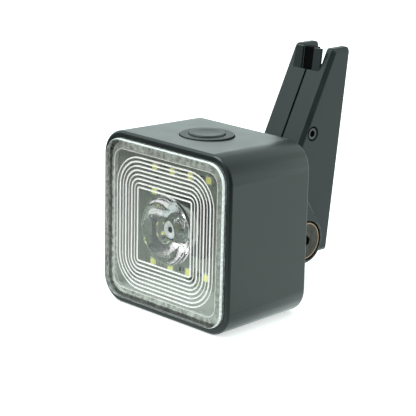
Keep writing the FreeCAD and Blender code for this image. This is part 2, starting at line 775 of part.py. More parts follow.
def make_collimator():
    """The clear cup-shaped optic that gathers the main light into a beam."""
    body = new_body("collimator", "0", f"{FRONT} + {LENS_BACK} + Sizes.optic_gap", MIDDLE_Z)
    length = (
        f"({LED_DEPTH} - Sizes.emitter_height - Sizes.holder_gap"
        f" - {LENS_BACK} - Sizes.optic_gap)"
    )
    pocket_floor = f"({length} - Sizes.led_pocket_depth)"
    profile = new_sketch(body, "YZ_Plane")
    add_outline(profile, [
        ("Sizes.dimple_depth", "0"),
        (pocket_floor, "0"),
        (pocket_floor, "Sizes.led_pocket_diameter / 2"),
        (length, "Sizes.led_pocket_diameter / 2"),
        (length, "Sizes.optic_foot_diameter / 2"),
        ("Sizes.optic_lip", "Sizes.optic_diameter / 2"),
        ("0", "Sizes.optic_diameter / 2"),
        ("0", "Sizes.dimple_diameter / 2"),
        ("Sizes.dimple_depth", "Sizes.dimple_diameter / 2"),
    ])
    revolve(body, profile, "H_Axis")


def make_holder():
    """The square block on the light board that the optic stands in."""
    body = new_body("optic_holder", "0", f"{FRONT} + {LED_DEPTH}", MIDDLE_Z)
    block = new_sketch(body, "XZ_Plane")
    width = "(Sizes.holder_bore + 2 * Sizes.holder_wall)"
    add_centred_rectangle(block, width, width)
    add_circle(block, "Sizes.holder_bore")
    pad(body, block, "Sizes.holder_height", -1)


# Battery and boards

def make_battery():
    """A soft-pack cell on a foam pad behind the web."""
    body = new_body(
        "battery_cell",
        f"{BATTERY_LEFT} + {BATTERY_WIDTH} / 2",
        f"{FRONT} + {WEB_BACK} + Sizes.pad_thickness",
        f"{BATTERY_LOW} + {BATTERY_HEIGHT} / 2",
    )
    outline = new_sketch(body, "XZ_Plane")
    add_rounded_rectangle(outline, BATTERY_WIDTH, BATTERY_HEIGHT, "Sizes.battery_radius")
    pad(body, outline, BATTERY_DEPTH, 1)
    keep(box(
        "battery_pad", f"{BATTERY_WIDTH} - 2 * Sizes.pad_margin", "Sizes.pad_thickness",
        f"{BATTERY_HEIGHT} - 2 * Sizes.pad_margin", f"{BATTERY_LEFT} + Sizes.pad_margin",
        f"{FRONT} + {WEB_BACK}",
        f"{BATTERY_LOW} + Sizes.pad_margin",
    ), "battery_pad")


def make_main_board():
    """The upright charging board on the left, with its two largest parts."""
    board_y = f"({FRONT} + {WEB_BACK} + Sizes.main_board_gap)"
    board_low = f"({MIDDLE_Z} - {MAIN_BOARD_HEIGHT} / 2)"
    keep(box(
        "main_board", "Sizes.board_thickness", MAIN_BOARD_DEPTH, MAIN_BOARD_HEIGHT,
        MAIN_BOARD_X, board_y, board_low,
    ), "main_board")
    inductor = box(
        "inductor", "Sizes.inductor_height", "Sizes.inductor_size", "Sizes.inductor_size",
        BOARD_FACE_X, f"{board_y} + Sizes.package_margin",
        f"{board_low} + {MAIN_BOARD_HEIGHT} - Sizes.package_margin - Sizes.inductor_size",
    )
    package = box(
        "charge_package", "Sizes.package_height", "Sizes.package_size", "Sizes.package_size",
        BOARD_FACE_X, f"{board_y} + Sizes.package_margin",
        f"{board_low} + Sizes.package_margin",
    )
    group("board_parts", [inductor, package])


def make_usb_socket():
    """The upright charging socket: an oval metal shell with a tongue inside."""
    body = new_body(
        "usb_socket", PORT_X, f"{BACK} - {SOCKET_MOUTH} - Sizes.socket_depth", MIDDLE_Z
    )
    shell = new_sketch(body, "XZ_Plane")
    add_rounded_rectangle(
        shell, "Sizes.socket_thickness", "Sizes.socket_height", "Sizes.socket_radius"
    )
    pad(body, shell, "Sizes.socket_depth", 1)
    mouth = new_sketch(body, "XZ_Plane", "Sizes.socket_depth")
    wall = "2 * Sizes.socket_shell"
    add_rounded_rectangle(
        mouth, f"(Sizes.socket_thickness - {wall})", f"(Sizes.socket_height - {wall})",
        "(Sizes.socket_radius - Sizes.socket_shell)",
    )
    pocket(body, mouth, "Sizes.socket_depth - Sizes.socket_back_wall", -1)
    tongue = new_sketch(body, "XZ_Plane")
    add_rectangle(
        tongue, "-Sizes.tongue_thickness / 2", "Sizes.tongue_thickness / 2",
        "-Sizes.tongue_height / 2", "Sizes.tongue_height / 2",
    )
    pad(body, tongue, "Sizes.socket_depth - Sizes.tongue_setback", 1)


# Push button

def make_button_board():
    """The small board under the button, and the switch on it."""
    keep(box(
        "button_board", "Sizes.button_board_width", "Sizes.button_board_depth",
        "Sizes.button_board_thickness", "-Sizes.button_board_width / 2",
        f"{FRONT} + {CHAMBER_DEPTH} + Sizes.button_board_gap", BUTTON_BOARD_Z,
    ), "button_board")
    half = "Sizes.switch_size / 2"
    switch_body = box(
        "switch_body", "Sizes.switch_size", "Sizes.switch_size", "Sizes.switch_height",
        f"-{half}", f"-{half}", "0",
    )
    plunger = cylinder(
        "switch_plunger", "Sizes.plunger_diameter",
        "(Sizes.switch_height + Sizes.plunger_height)",
    )
    switch = fuse("tactile_switch", [switch_body, plunger])
    place(switch, "0", "0", SWITCH_BASE_Z)
    keep(switch, "tactile_switch")


def make_button():
    """The rubber ring in the housing's top, and the cap that it guides and holds."""
    ring = new_body("button_seal", "0", "0", BUTTON_FLOOR_Z)
    outer = "(Sizes.button_seat_diameter / 2 - Sizes.seal_gap)"
    bore = f"({CAP_FLANGE_DIAMETER} / 2 + Sizes.cap_gap)"
    mouth = "(Sizes.cap_diameter / 2 + Sizes.cap_gap)"
    profile = new_sketch(ring, "XZ_Plane")
    add_outline(profile, [
        (bore, "0"),
        (outer, "0"),
        (outer, SEAL_TOP),
        (mouth, SEAL_TOP),
        (mouth, SEAL_LIP_START),
        (bore, SEAL_LIP_START),
    ])
    revolve(ring, profile, "V_Axis")

    cap = new_body("button_cap", "0", "0", f"{BUTTON_FLOOR_Z} + {CAP_REST}")
    top = f"({SEAL_TOP} - {CAP_REST} + Sizes.cap_proud)"
    side = "Sizes.cap_diameter / 2"
    profile = new_sketch(cap, "XZ_Plane")
    add_outline(profile, [
        ("0", "-Sizes.stem_length"),
        ("Sizes.stem_diameter / 2", "-Sizes.stem_length"),
        ("Sizes.stem_diameter / 2", "0"),
        (f"{CAP_FLANGE_DIAMETER} / 2", "0"),
        (f"{CAP_FLANGE_DIAMETER} / 2", "Sizes.cap_flange_height"),
        (side, "Sizes.cap_flange_height"),
        (side, f"{top} - Sizes.cap_chamfer"),
        (f"{side} - Sizes.cap_chamfer", top),
        ("0", top),
    ])
    revolve(cap, profile, "V_Axis")


# Back plate with the hinge ears

def make_back_plate():
    """The plate that closes the housing, with two gusset ears for the arm's hinge."""
    body = new_body("back_plate", "0", BACK, "0")
    gap = "2 * Sizes.plate_gap"
    outline = new_sketch(body, "XZ_Plane", "-Sizes.plate_thickness")
    add_rounded_rectangle(
        outline, f"({RECESS_WIDTH} - {gap})", f"({RECESS_HEIGHT} - {gap})",
        f"({RECESS_RADIUS} - Sizes.plate_gap)", "0", MIDDLE_Z,
    )
    pad(body, outline, "Sizes.plate_thickness", 1)

    fall = "Sizes.ear_lower_lean"
    reach, radius = "Sizes.hinge_reach", "Sizes.ear_radius"
    shelf_z = (
        f"({MIDDLE_Z} + {RECESS_HEIGHT} / 2 - Sizes.plate_gap - Sizes.ear_top_margin)"
    )
    across, up = f"({reach} - Sizes.ear_shelf)", f"({shelf_z} - Sizes.hinge_z)"
    lean = (
        f"((180 deg - atan({up} / {across})"
        f" - acos({radius} / sqrt({across} ^ 2 + {up} ^ 2))) / 1 deg)"
    )
    upper_y = f"({reach} + {radius} * {cosine(lean)})"
    upper_z = f"(Sizes.hinge_z + {radius} * {sine(lean)})"
    lower_y = f"({reach} + {radius} * {sine(fall)})"
    lower_z = f"(Sizes.hinge_z - {radius} * {cosine(fall)})"
    root_z = f"({lower_z} - {lower_y} * tan({fall} * 1 deg))"
    for side in (-1, 1):
        ear = new_sketch(body, "YZ_Plane", f"{side} * {EAR_INNER}")
        add_outline(ear, [
            ("-Sizes.ear_root", root_z),
            (lower_y, lower_z),
            (upper_y, upper_z),
            ("Sizes.ear_shelf", shelf_z),
            ("-Sizes.ear_root", shelf_z),
        ], arcs={1: radius})
        pad(body, ear, "Sizes.ear_thickness", side)
    for side in (-1, 1):
        head_seat = new_sketch(body, "YZ_Plane", f"{side} * {EAR_OUTER}")
        add_circle(
            head_seat, "(Sizes.hinge_head_diameter + 2 * Sizes.hinge_head_gap)",
            reach, "Sizes.hinge_z",
        )
        pocket(body, head_seat, HEAD_SEAT_DEPTH, -side)
    bore = new_sketch(body, "YZ_Plane", EAR_OUTER)
    add_circle(bore, HINGE_BORE, reach, "Sizes.hinge_z")
    pocket(body, bore, f"2 * {EAR_OUTER}", -1)

    half_flap = "(Sizes.flap_width / 2 + Sizes.flap_gap)"
    half_rise = "(Sizes.flap_height / 2 + Sizes.flap_gap)"
    corner = "(Sizes.flap_corner + Sizes.flap_gap)"
    left, right = f"({PORT_X} - {half_flap})", f"({PORT_X} + {half_flap})"
    top = f"({MIDDLE_Z} + {half_rise})"
    flap_seat = new_sketch(body, "XZ_Plane")
    add_outline(flap_seat, [
        (left, f"{MIDDLE_Z} - {half_rise}"),
        (right, f"{MIDDLE_Z} - {half_rise}"),
        (right, f"{top} - {corner}"),
        (f"{right} - {corner}", top),
        (f"{left} + {corner}", top),
        (left, f"{top} - {corner}"),
    ], arcs={2: corner, 4: corner})
    pocket(body, flap_seat, FLAP_SEAT_DEPTH, -1)
    port = new_sketch(body, "XZ_Plane")
    add_rounded_rectangle(
        port, "(Sizes.socket_thickness + 2 * Sizes.port_gap)",
        "(Sizes.socket_height + 2 * Sizes.port_gap)",
        "(Sizes.socket_radius + Sizes.port_gap)", PORT_X, MIDDLE_Z,
    )
    pocket(body, port, "Sizes.plate_thickness", -1)

    shanks = new_sketch(body, "XZ_Plane")
    heads = new_sketch(body, "XZ_Plane")
    for side in (-1, 1):
        x, z = f"{side} * {BOSS_X}", f"{MIDDLE_Z} + {side} * {BOSS_Z}"
        add_circle(shanks, "(Sizes.plate_screw_diameter + 2 * Sizes.screw_gap)", x, z)
        add_circle(heads, "(Sizes.plate_screw_head + 2 * Sizes.screw_gap)", x, z)
    pocket(body, shanks, "Sizes.plate_thickness", -1)
    pocket(body, heads, "Sizes.plate_screw_head_height", -1)


def make_plate_screws():
    """Two flat-head screws that are sunk into opposite corners of the back plate."""
    screws = []
    for side in (-1, 1):
        head = cylinder(
            "plate_screw_head", "Sizes.plate_screw_head", "Sizes.plate_screw_head_height"
        )
        shank = cylinder(
            "plate_screw_shank", "Sizes.plate_screw_diameter", "Sizes.plate_screw_length"
        )
        screw = fuse("plate_screw", [head, shank])
        point_along(screw, Vector(0, -1, 0))
        place(screw, f"{side} * {BOSS_X}", BACK, f"{MIDDLE_Z} + {side} * {BOSS_Z}")
        screws.append(screw)
    group("plate_screws", screws)


def add_hexagon(sketch, across_flats, x="0", y="0"):
    """A hexagon about a point."""
    corner_radius = f"({across_flats} / sqrt(3))"
    add_outline(sketch, [
        (f"{x} + {corner_radius} * {cosine(angle)}", f"{y} + {corner_radius} * {sine(angle)}")
        for angle in range(0, 360, 60)
    ])


def make_hinge():
    """The hinge screw through both ears and the arm, and its round nut."""
    screw = new_body("hinge_screw", HEAD_SEAT_X, HINGE_Y, "Sizes.hinge_z")
    head, chamfer = "Sizes.hinge_head_diameter / 2", "Sizes.hinge_head_chamfer"
    shank = "Sizes.hinge_screw_diameter / 2"
    tip = f"(-{HEAD_SEAT_X} - {EAR_OUTER} + Sizes.hinge_head_sink)"
    profile = new_sketch(screw, "XZ_Plane")
    add_outline(profile, [
        (tip, "0"),
        ("Sizes.hinge_head_height", "0"),
        ("Sizes.hinge_head_height", f"{head} - {chamfer}"),
        (f"Sizes.hinge_head_height - {chamfer}", head),
        ("0", head),
        ("0", shank),
        (tip, shank),
    ])
    revolve(screw, profile, "H_Axis")
    drive = new_sketch(screw, "YZ_Plane", "Sizes.hinge_head_height")
    add_hexagon(drive, "Sizes.hinge_hex")
    pocket(screw, drive, "Sizes.hinge_hex_depth", -1)

    nut = new_body("hinge_nut", f"-{HEAD_SEAT_X}", HINGE_Y, "Sizes.hinge_z")
    profile = new_sketch(nut, "XZ_Plane")
    add_outline(profile, [
        ("-Sizes.hinge_head_height", f"{HINGE_BORE} / 2"),
        ("0", f"{HINGE_BORE} / 2"),
        ("0", head),
        ("-Sizes.hinge_head_height", head),
    ])
    revolve(nut, profile, "H_Axis")
    slot = new_sketch(nut, "YZ_Plane", "-Sizes.hinge_head_height")
    add_rectangle(
        slot, f"-{head}", head, "-Sizes.nut_slot_width / 2", "Sizes.nut_slot_width / 2"
    )
    pocket(nut, slot, "Sizes.nut_slot_depth", 1)


def make_port_cover():
    """The rubber flap over the charging port, round at the lower end it turns about."""
    body = new_body(
        "port_cover", PORT_X, f"{BACK} - Sizes.flap_thickness / 2", FLAP_AXIS_Z
    )
    half_width, half_thickness = "Sizes.flap_width / 2", "Sizes.flap_thickness / 2"
    tip = f"(Sizes.flap_height - {half_thickness})"
    leaf = new_sketch(body, "YZ_Plane", f"-{half_width}")
    add_rectangle(leaf, f"-{half_thickness}", half_thickness, "0", tip)
    pad(body, leaf, "Sizes.flap_width", 1)
    knuckle = new_sketch(body, "YZ_Plane", f"-{half_width}")
    add_circle(knuckle, "Sizes.flap_thickness")
    pad(body, knuckle, "Sizes.flap_width", 1)
    at_tip, at_sides = level("z", tip), value(half_width)
    dress(
        body, "Fillet", "Radius", "Sizes.flap_corner",
        lambda point: at_tip(point) and abs(abs(point.x) - at_sides) < TOUCHING,
    )
    lip = new_sketch(body, "XZ_Plane", half_thickness)
    lip_top = f"({tip} - Sizes.flap_lip_inset)"
    add_rectangle(
        lip, f"-{half_width} + Sizes.flap_corner", f"{half_width} - Sizes.flap_corner",
        f"{lip_top} - Sizes.flap_lip_height", lip_top,
    )
    pad(body, lip, "Sizes.flap_lip_depth", 1)
    plug = new_sketch(body, "XZ_Plane", f"-{half_thickness}")
    play = "2 * (Sizes.port_gap - Sizes.plug_gap)"
    add_rounded_rectangle(
        plug, f"(Sizes.socket_thickness + {play})", f"(Sizes.socket_height + {play})",
        "Sizes.socket_radius", "0", f"{MIDDLE_Z} - {FLAP_AXIS_Z}",
    )
    pad(body, plug, "Sizes.plug_depth", -1)


# Folding arm. Its sketches are drawn about the hinge axis.

def make_arm_half(label, side):
    """One half of the wedge arm: a cheek, half of the front wall with its fork tab, and
    a boss for the pinch screw. The back of the channel between the cheeks is open."""
    body = new_body(label, "0", HINGE_Y, "Sizes.hinge_z")
    slit = "Sizes.slit_width / 2"
    lean = "Sizes.arm_front_lean"

    profile = new_sketch(body, "YZ_Plane", f"{side} * {slit}")
    nose_y = f"(-sqrt({NOSE_RADIUS} ^ 2 - {ARM_BOTTOM} ^ 2))"
    add_outline(profile, [
        (nose_y, ARM_BOTTOM),
        (on_back(ARM_BOTTOM), ARM_BOTTOM),
        (on_back(ARM_TOP), ARM_TOP),
        (on_front(NOSE_RADIUS, ARM_TOP), ARM_TOP),
        (f"-{NOSE_RADIUS} * {cosine(lean)}", f"{NOSE_RADIUS} * {sine(lean)}"),
    ], arcs={4: NOSE_RADIUS})
    pad(body, profile, f"Sizes.arm_half_width - {slit}", side)
    corners = (value(on_front(NOSE_RADIUS, ARM_TOP)), value(on_back(ARM_TOP)))
    at_top = level("z", ARM_TOP)
    dress(
        body, "Fillet", "Radius", "Sizes.tip_radius",
        lambda point: at_top(point) and min(abs(point.y - y) for y in corners) < TOUCHING,
    )
    dress(
        body, "Chamfer", "Size", "Sizes.cheek_chamfer",
        level("x", f"{side} * Sizes.arm_half_width"),
    )

    channel = new_sketch(body, "YZ_Plane", "0")
    margin = "Sizes.cut_margin"
    inner_y = f"(-sqrt({CHANNEL_RADIUS} ^ 2 - {ARM_BOTTOM} ^ 2))"
    low, high = f"({ARM_BOTTOM} - {margin})", f"({ARM_TOP} + {margin})"
    far_back = f"({on_back(ARM_TOP)} + {margin})"
    add_outline(channel, [
        (inner_y, low),
        (far_back, low),
        (far_back, high),
        (f"-{NOSE_RADIUS}", high),
        (f"-{NOSE_RADIUS}", FORK_FLOOR),
        (on_front(CHANNEL_RADIUS, FORK_FLOOR), FORK_FLOOR),
        (f"-{CHANNEL_RADIUS} * {cosine(lean)}", f"{CHANNEL_RADIUS} * {sine(lean)}"),
        (inner_y, ARM_BOTTOM),
    ], arcs={6: CHANNEL_RADIUS})
    pocket(body, channel, CHEEK_INNER, side)

    tab = new_sketch(body, "YZ_Plane", f"{side} * Sizes.tab_inner")
    rise = f"({ARM_TOP} - {FORK_FLOOR})"
    add_outline(tab, [
        (upright(TAB_FRONT, "-Sizes.tab_root"), f"{FORK_FLOOR} - Sizes.tab_root"),
        (f"{upright(TAB_FRONT, '-Sizes.tab_root')} + Sizes.tab_depth",
         f"{FORK_FLOOR} - Sizes.tab_root"),
        (f"{upright(TAB_FRONT, rise)} + Sizes.tab_depth", ARM_TOP),
        (upright(TAB_FRONT, rise), ARM_TOP),
    ])
    pad(body, tab, f"{CHEEK_INNER} - Sizes.tab_inner", side)

    boss = new_sketch(body, "YZ_Plane", f"{side} * {slit}")
    add_circle(boss, "Sizes.pinch_boss_diameter", PINCH_Y, PINCH_UP)
    pad(body, boss, f"{CHEEK_INNER} - {slit}", side)

    outer = f"{side} * Sizes.arm_half_width"
    bore = new_sketch(body, "YZ_Plane", outer)
    add_circle(bore, HINGE_BORE)
    pocket(body, bore, "Sizes.cheek_thickness", -side)
    if side > 0:
        head_seat = new_sketch(body, "YZ_Plane", outer)
        add_circle(
            head_seat, "(Sizes.pinch_head_diameter + 2 * Sizes.pinch_head_gap)",
            PINCH_Y, PINCH_UP,
        )
        pocket(body, head_seat, "Sizes.pinch_head_height + Sizes.pinch_head_sink", -side)
        hole = new_sketch(body, "YZ_Plane", outer)
        add_circle(
            hole, "(Sizes.pinch_screw_diameter + 2 * Sizes.screw_gap)", PINCH_Y, PINCH_UP
        )
        pocket(body, hole, "Sizes.arm_half_width", -side)
    else:
        insert_hole = new_sketch(body, "YZ_Plane", "0")
        add_hexagon(
            insert_hole, "(Sizes.insert_width + 2 * Sizes.screw_gap)", PINCH_Y, PINCH_UP
        )
        pocket(body, insert_hole, f"{slit} + Sizes.insert_length", side)


def make_pinch_screw():
    """The small socket screw that draws the two halves together, and its brass insert."""
    screw = new_body(
        "pinch_screw",
        "Sizes.arm_half_width - Sizes.pinch_head_height - Sizes.pinch_head_sink",
        f"{HINGE_Y} + {PINCH_Y}", "Sizes.pinch_z",
    )
    head, shank = "Sizes.pinch_head_diameter / 2", "Sizes.pinch_screw_diameter / 2"
    tip = (
        "(-Sizes.arm_half_width + Sizes.pinch_head_height + Sizes.pinch_head_sink"
        " - Sizes.slit_width / 2 - Sizes.insert_length)"
    )
    profile = new_sketch(screw, "XZ_Plane")
    add_outline(profile, [
        (tip, "0"),
        ("Sizes.pinch_head_height", "0"),
        ("Sizes.pinch_head_height", head),
        ("0", head),
        ("0", shank),
        (tip, shank),
    ])
    revolve(screw, profile, "H_Axis")
    drive = new_sketch(screw, "YZ_Plane", "Sizes.pinch_head_height")
    add_hexagon(drive, "Sizes.pinch_hex")
    pocket(screw, drive, "Sizes.pinch_hex_depth", -1)

    insert = new_body(
        "pinch_insert", "-Sizes.slit_width / 2 - Sizes.insert_length",
        f"{HINGE_Y} + {PINCH_Y}", "Sizes.pinch_z",
    )
    nut = new_sketch(insert, "YZ_Plane")
    add_hexagon(nut, "Sizes.insert_width")
    add_circle(nut, "(Sizes.pinch_screw_diameter + 2 * Sizes.screw_gap)")
    pad(insert, nut, "Sizes.insert_length", 1)


def make_hinge_sleeve():
    """The spacer tube round the hinge screw between the cheeks."""
    half_length = f"({CHEEK_INNER} - Sizes.sleeve_gap)"
    body = new_body("hinge_sleeve", f"-{half_length}", HINGE_Y, "Sizes.hinge_z")
    ring = new_sketch(body, "YZ_Plane")
    add_circle(ring, "Sizes.sleeve_diameter")
    add_circle(ring, HINGE_BORE)
    pad(body, ring, f"2 * {half_length}", 1)


def make_jaw_liner():
    """The black rubber strip behind the slit, which rises between the fork tabs."""
    body = new_body("jaw_liner", "0", HINGE_Y, "Sizes.hinge_z")
    half_width = "(Sizes.tab_inner - Sizes.liner_gap)"
    gap = "Sizes.liner_gap"
    foot = f"({PINCH_UP} + Sizes.pinch_boss_diameter / 2 + Sizes.liner_boss_gap)"
    seat = f"({FORK_FLOOR} + {gap})"
    face = f"({CHANNEL_RADIUS} - {gap})"
    behind = f"({face} - Sizes.liner_thickness)"
    top = f"({ARM_TOP} - Sizes.liner_top_gap)"
    block_front = f"({TAB_FRONT} + Sizes.liner_recess)"
    profile = new_sketch(body, "YZ_Plane", f"-{half_width}")
    add_outline(profile, [
        (on_front(face, foot), foot),
        (on_front(behind, foot), foot),
        (f"{block_front} + Sizes.liner_block_depth", seat),
        (f"{upright(block_front, f'{top} - {seat}')} + Sizes.liner_block_depth", top),
        (upright(block_front, f"{top} - {seat}"), top),
        (block_front, seat),
        (on_front(face, seat), seat),
    ])
    pad(body, profile, f"2 * {half_width}", 1)


make_housing()
make_plate_seal()
make_lens()
make_lens_gasket()
make_light_frame()
make_led_board()
make_chip_leds()
make_main_led()
make_collimator()
make_holder()
make_battery()
make_main_board()
make_usb_socket()
make_button_board()
make_button()
make_back_plate()
make_plate_screws()
make_hinge()
make_port_cover()
make_arm_half("arm_left", -1)
make_arm_half("arm_right", 1)
make_pinch_screw()
make_hinge_sleeve()
make_jaw_liner()
doc.recompute()


# Checks before anything is written

for item in doc.Objects:
    if "Invalid" in item.State or "Error" in item.State:
        raise RuntimeError(f"{item.Name} failed: {item.State}")
    if item.TypeId == "PartDesign::Pocket":
        before = item.BaseFeature.Shape.Volume
        if item.Shape.Volume >= before - TOUCHING ** 2:
            raise RuntimeError(f"{item.Name} cuts nothing")

os.makedirs("parts", exist_ok=True)
for node in nodes:
    shape = node.Shape
    if shape.isNull() or not shape.isValid():
        raise RuntimeError(f"{node.Label} has no valid shape")
    shape.exportStep(f"parts/{node.Label}.step")
    print(f"{node.Label}: {len(shape.Solids)} solids, {shape.Volume:.2f} mm3")
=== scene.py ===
"""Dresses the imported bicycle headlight: its clear lens, optic, lights, button, fittings and
surface finishes, on the fixed frame of the CAD model. Units are metres; +X is to the right
of someone who looks at the lens, the lens faces -Y, and +Z is up."""

import math
from functools import partial

import bmesh
import bpy
from bpy.props import FloatProperty, FloatVectorProperty, IntProperty, PointerProperty
from mathutils import Matrix, Vector


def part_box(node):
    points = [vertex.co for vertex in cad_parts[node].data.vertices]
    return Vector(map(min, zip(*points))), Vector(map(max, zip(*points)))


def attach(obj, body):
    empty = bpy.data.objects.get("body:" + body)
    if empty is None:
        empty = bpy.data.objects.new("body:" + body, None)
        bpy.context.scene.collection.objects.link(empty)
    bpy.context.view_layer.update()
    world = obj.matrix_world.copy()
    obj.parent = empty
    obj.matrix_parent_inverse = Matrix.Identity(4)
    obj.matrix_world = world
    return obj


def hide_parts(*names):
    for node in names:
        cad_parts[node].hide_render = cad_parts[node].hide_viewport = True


bl_info = {
    "name": "Bicycle Headlight Dressing",
    "version": (1, 0, 0),
    "blender": (4, 5, 0),
    "location": "3D View > Sidebar > Headlight",
    "description": "Builds the visible surfaces of a square bicycle headlight on a folding arm",
    "category": "Object",
}

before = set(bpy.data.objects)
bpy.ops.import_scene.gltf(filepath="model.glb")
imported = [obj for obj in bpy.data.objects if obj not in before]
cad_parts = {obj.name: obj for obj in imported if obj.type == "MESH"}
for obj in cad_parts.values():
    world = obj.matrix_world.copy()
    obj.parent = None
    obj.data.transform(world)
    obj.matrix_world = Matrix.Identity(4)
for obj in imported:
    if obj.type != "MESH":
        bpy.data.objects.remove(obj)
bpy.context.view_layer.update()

MM = 0.001
QUARTER = math.pi / 2
SIXTH = math.pi / 3
SIDEWAYS = Vector((1, 0, 0))
BACKWARDS = Vector((0, 1, 0))
UPWARDS = Vector((0, 0, 1))

# How finely round shapes are divided
CORNER_STEPS = 8
ROUND_STEPS = 4
CURVE_STEPS = 10
TURN_STEPS = 96

SMOOTH_ANGLE = math.radians(32)
FLAT_ANGLE = math.radians(0.5)
EDGE_ANGLE = math.radians(38)
LOBE_RISE = 0.15
COAT_ROUGHNESS = 0.28
INNER_RIB_CORNER = 0.5 * MM
ODD_RIB_THINNING = 0.1 * MM

# Radius in millimetres of the smallest loop round an axis, on clear and on plain pieces
FINE_POINT = 0.02
BLUNT_POINT = 0.05

LENS_LOW, LENS_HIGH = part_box("lens")
HOUSING_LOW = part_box("housing")[0]
LAMP_MIDDLE_Z = (LENS_LOW.z + LENS_HIGH.z) / 2


# Values a user may change

LengthValue = partial(FloatProperty, unit="LENGTH", precision=5)
ColourValue = partial(FloatVectorProperty, subtype="COLOR", min=0, max=1)


class HeadlightSizes(bpy.types.PropertyGroup):
    """Sizes of the pieces that are built over the frame."""

    lens_edge: LengthValue(
        name="Lens edge", description="Reach of the bevel round the lens front",
        default=0.5 * MM,
    )
    lens_corner: LengthValue(
        name="Lens corner", description="Radius of the lens corners",
        default=3.95 * MM,
    )
    window_inset: LengthValue(
        name="Window inset", description="From the lens side to the recess behind it",
        default=2.0 * MM,
    )
    window_depth: LengthValue(
        name="Window depth", description="Depth of the recess in the lens back",
        default=1.23 * MM,
    )
    # Width of the band of painted shade on the lens side, next to the rim
    shade_line_width: LengthValue(
        name="Shade line", description="Dark line round the lens next to the rim",
        default=0.22 * MM,
    )
    ring_count: IntProperty(
        name="Rings", description="Number of nested square ribs in the lens", default=8,
    )
    ring_start: LengthValue(
        name="First ring", description="Half width of the outermost square rib",
        default=13.56 * MM,
    )
    ring_pitch: LengthValue(
        name="Ring pitch", description="From one square rib to the next",
        default=0.857 * MM,
    )
    rib_width: LengthValue(
        name="Rib width", description="Width of a square rib",
        default=0.36 * MM,
    )
    rib_height: LengthValue(
        name="Rib height", description="How far a square rib stands up",
        default=0.12 * MM,
    )
    border_rib: LengthValue(
        name="Border rib", description="Half width of the fine rib round the window",
        default=14.42 * MM,
    )
    optic_reach: LengthValue(
        name="Optic reach", description="How far the optic stands into the lens recess",
        default=0.9 * MM,
    )
    edge_softness: LengthValue(
        name="Edge softness", description="Width of the rounded edges of moulded parts",
        default=0.14 * MM,
    )


class HeadlightColours(bpy.types.PropertyGroup):
    """Base colours of the finishes."""

    graphite: ColourValue(
        name="Graphite", description="Satin graphite of the housing",
        default=(0.004, 0.0075, 0.007),
    )
    arm: ColourValue(
        name="Arm", description="Dark moulded plastic of the folding arm",
        default=(0.007, 0.013, 0.0125),
    )
    button: ColourValue(
        name="Button", description="Soft rubber of the push button",
        default=(0.018, 0.025, 0.024),
    )
    gasket: ColourValue(
        name="Gasket", description="Silicone frame behind the lens border",
        default=(0.21, 0.22, 0.20),
    )
    reflector: ColourValue(
        name="Reflector", description="Pale plastic funnel round the lights",
        default=(0.45, 0.48, 0.44),
    )
    board: ColourValue(
        name="Light board", description="Pale mask of the light board",
        default=(0.30, 0.34, 0.28),
    )
    phosphor: ColourValue(
        name="Phosphor", description="Yellow-green face of the lights",
        default=(0.90, 0.93, 0.28),
    )
    rim: ColourValue(
        name="Screw rim", description="Coppery worn edge of the hinge screw",
        default=(0.42, 0.24, 0.16),
    )


class HeadlightStage(bpy.types.PropertyGroup):
    """Camera, lamps and floor."""

    azimuth: FloatProperty(
        name="Azimuth", description="Camera angle round the object, from the lens side",
        subtype="ANGLE", default=math.radians(44.74),
    )
    elevation: FloatProperty(
        name="Elevation", description="Camera angle above the floor",
        subtype="ANGLE", default=math.radians(15.90),
    )
    roll: FloatProperty(
        name="Roll", description="Camera turn about its own line of sight",
        subtype="ANGLE", default=math.radians(1.29),
    )
    distance: LengthValue(
        name="Distance", description="From the camera to the point it aims at",
        default=312.2 * MM,
    )
    aim: FloatVectorProperty(
        name="Aim", description="The point in the middle of the picture",
        subtype="TRANSLATION", unit="LENGTH", precision=5,
        default=(11.92 * MM, -11.30 * MM, 25.39 * MM),
    )
    focal_length: FloatProperty(
        name="Focal length", description="In millimetres on a 36 mm sensor",
        default=142.0,
    )
    overhead_power: FloatProperty(
        name="Overhead power", description="Power of the large lamp above and behind",
        subtype="POWER", default=1.3,
    )
    key_power: FloatProperty(
        name="Key power", description="Power of the soft lamp in front",
        subtype="POWER", default=4.2,
    )
    fill_light: FloatProperty(
        name="Fill light", description="Strength of the light from all sides", default=1.15,
    )
    light_tint: ColourValue(
        name="Light tint", description="Colour of the light from all sides",
        default=(0.86, 1.0, 0.97),
    )
    front_floor: FloatProperty(
        name="Front floor", description="How light mirrors see the floor in front",
        default=0.03,
    )
    rear_floor: FloatProperty(
        name="Rear floor", description="How light mirrors see the floor behind",
        default=1.35,
    )
    dark_room: FloatProperty(
        name="Dark room", description="How light mirrors see the camera's side",
        default=0.05,
    )
    front_room: FloatProperty(
        name="Front room", description="How light mirrors see the room in front",
        default=0.95,
    )
    back_room: FloatProperty(
        name="Back room", description="How light mirrors see the room behind",
        default=1.38,
    )
    floor_reach: LengthValue(
        name="Floor reach", description="Half width of the floor", default=3.0,
    )


# Shapes

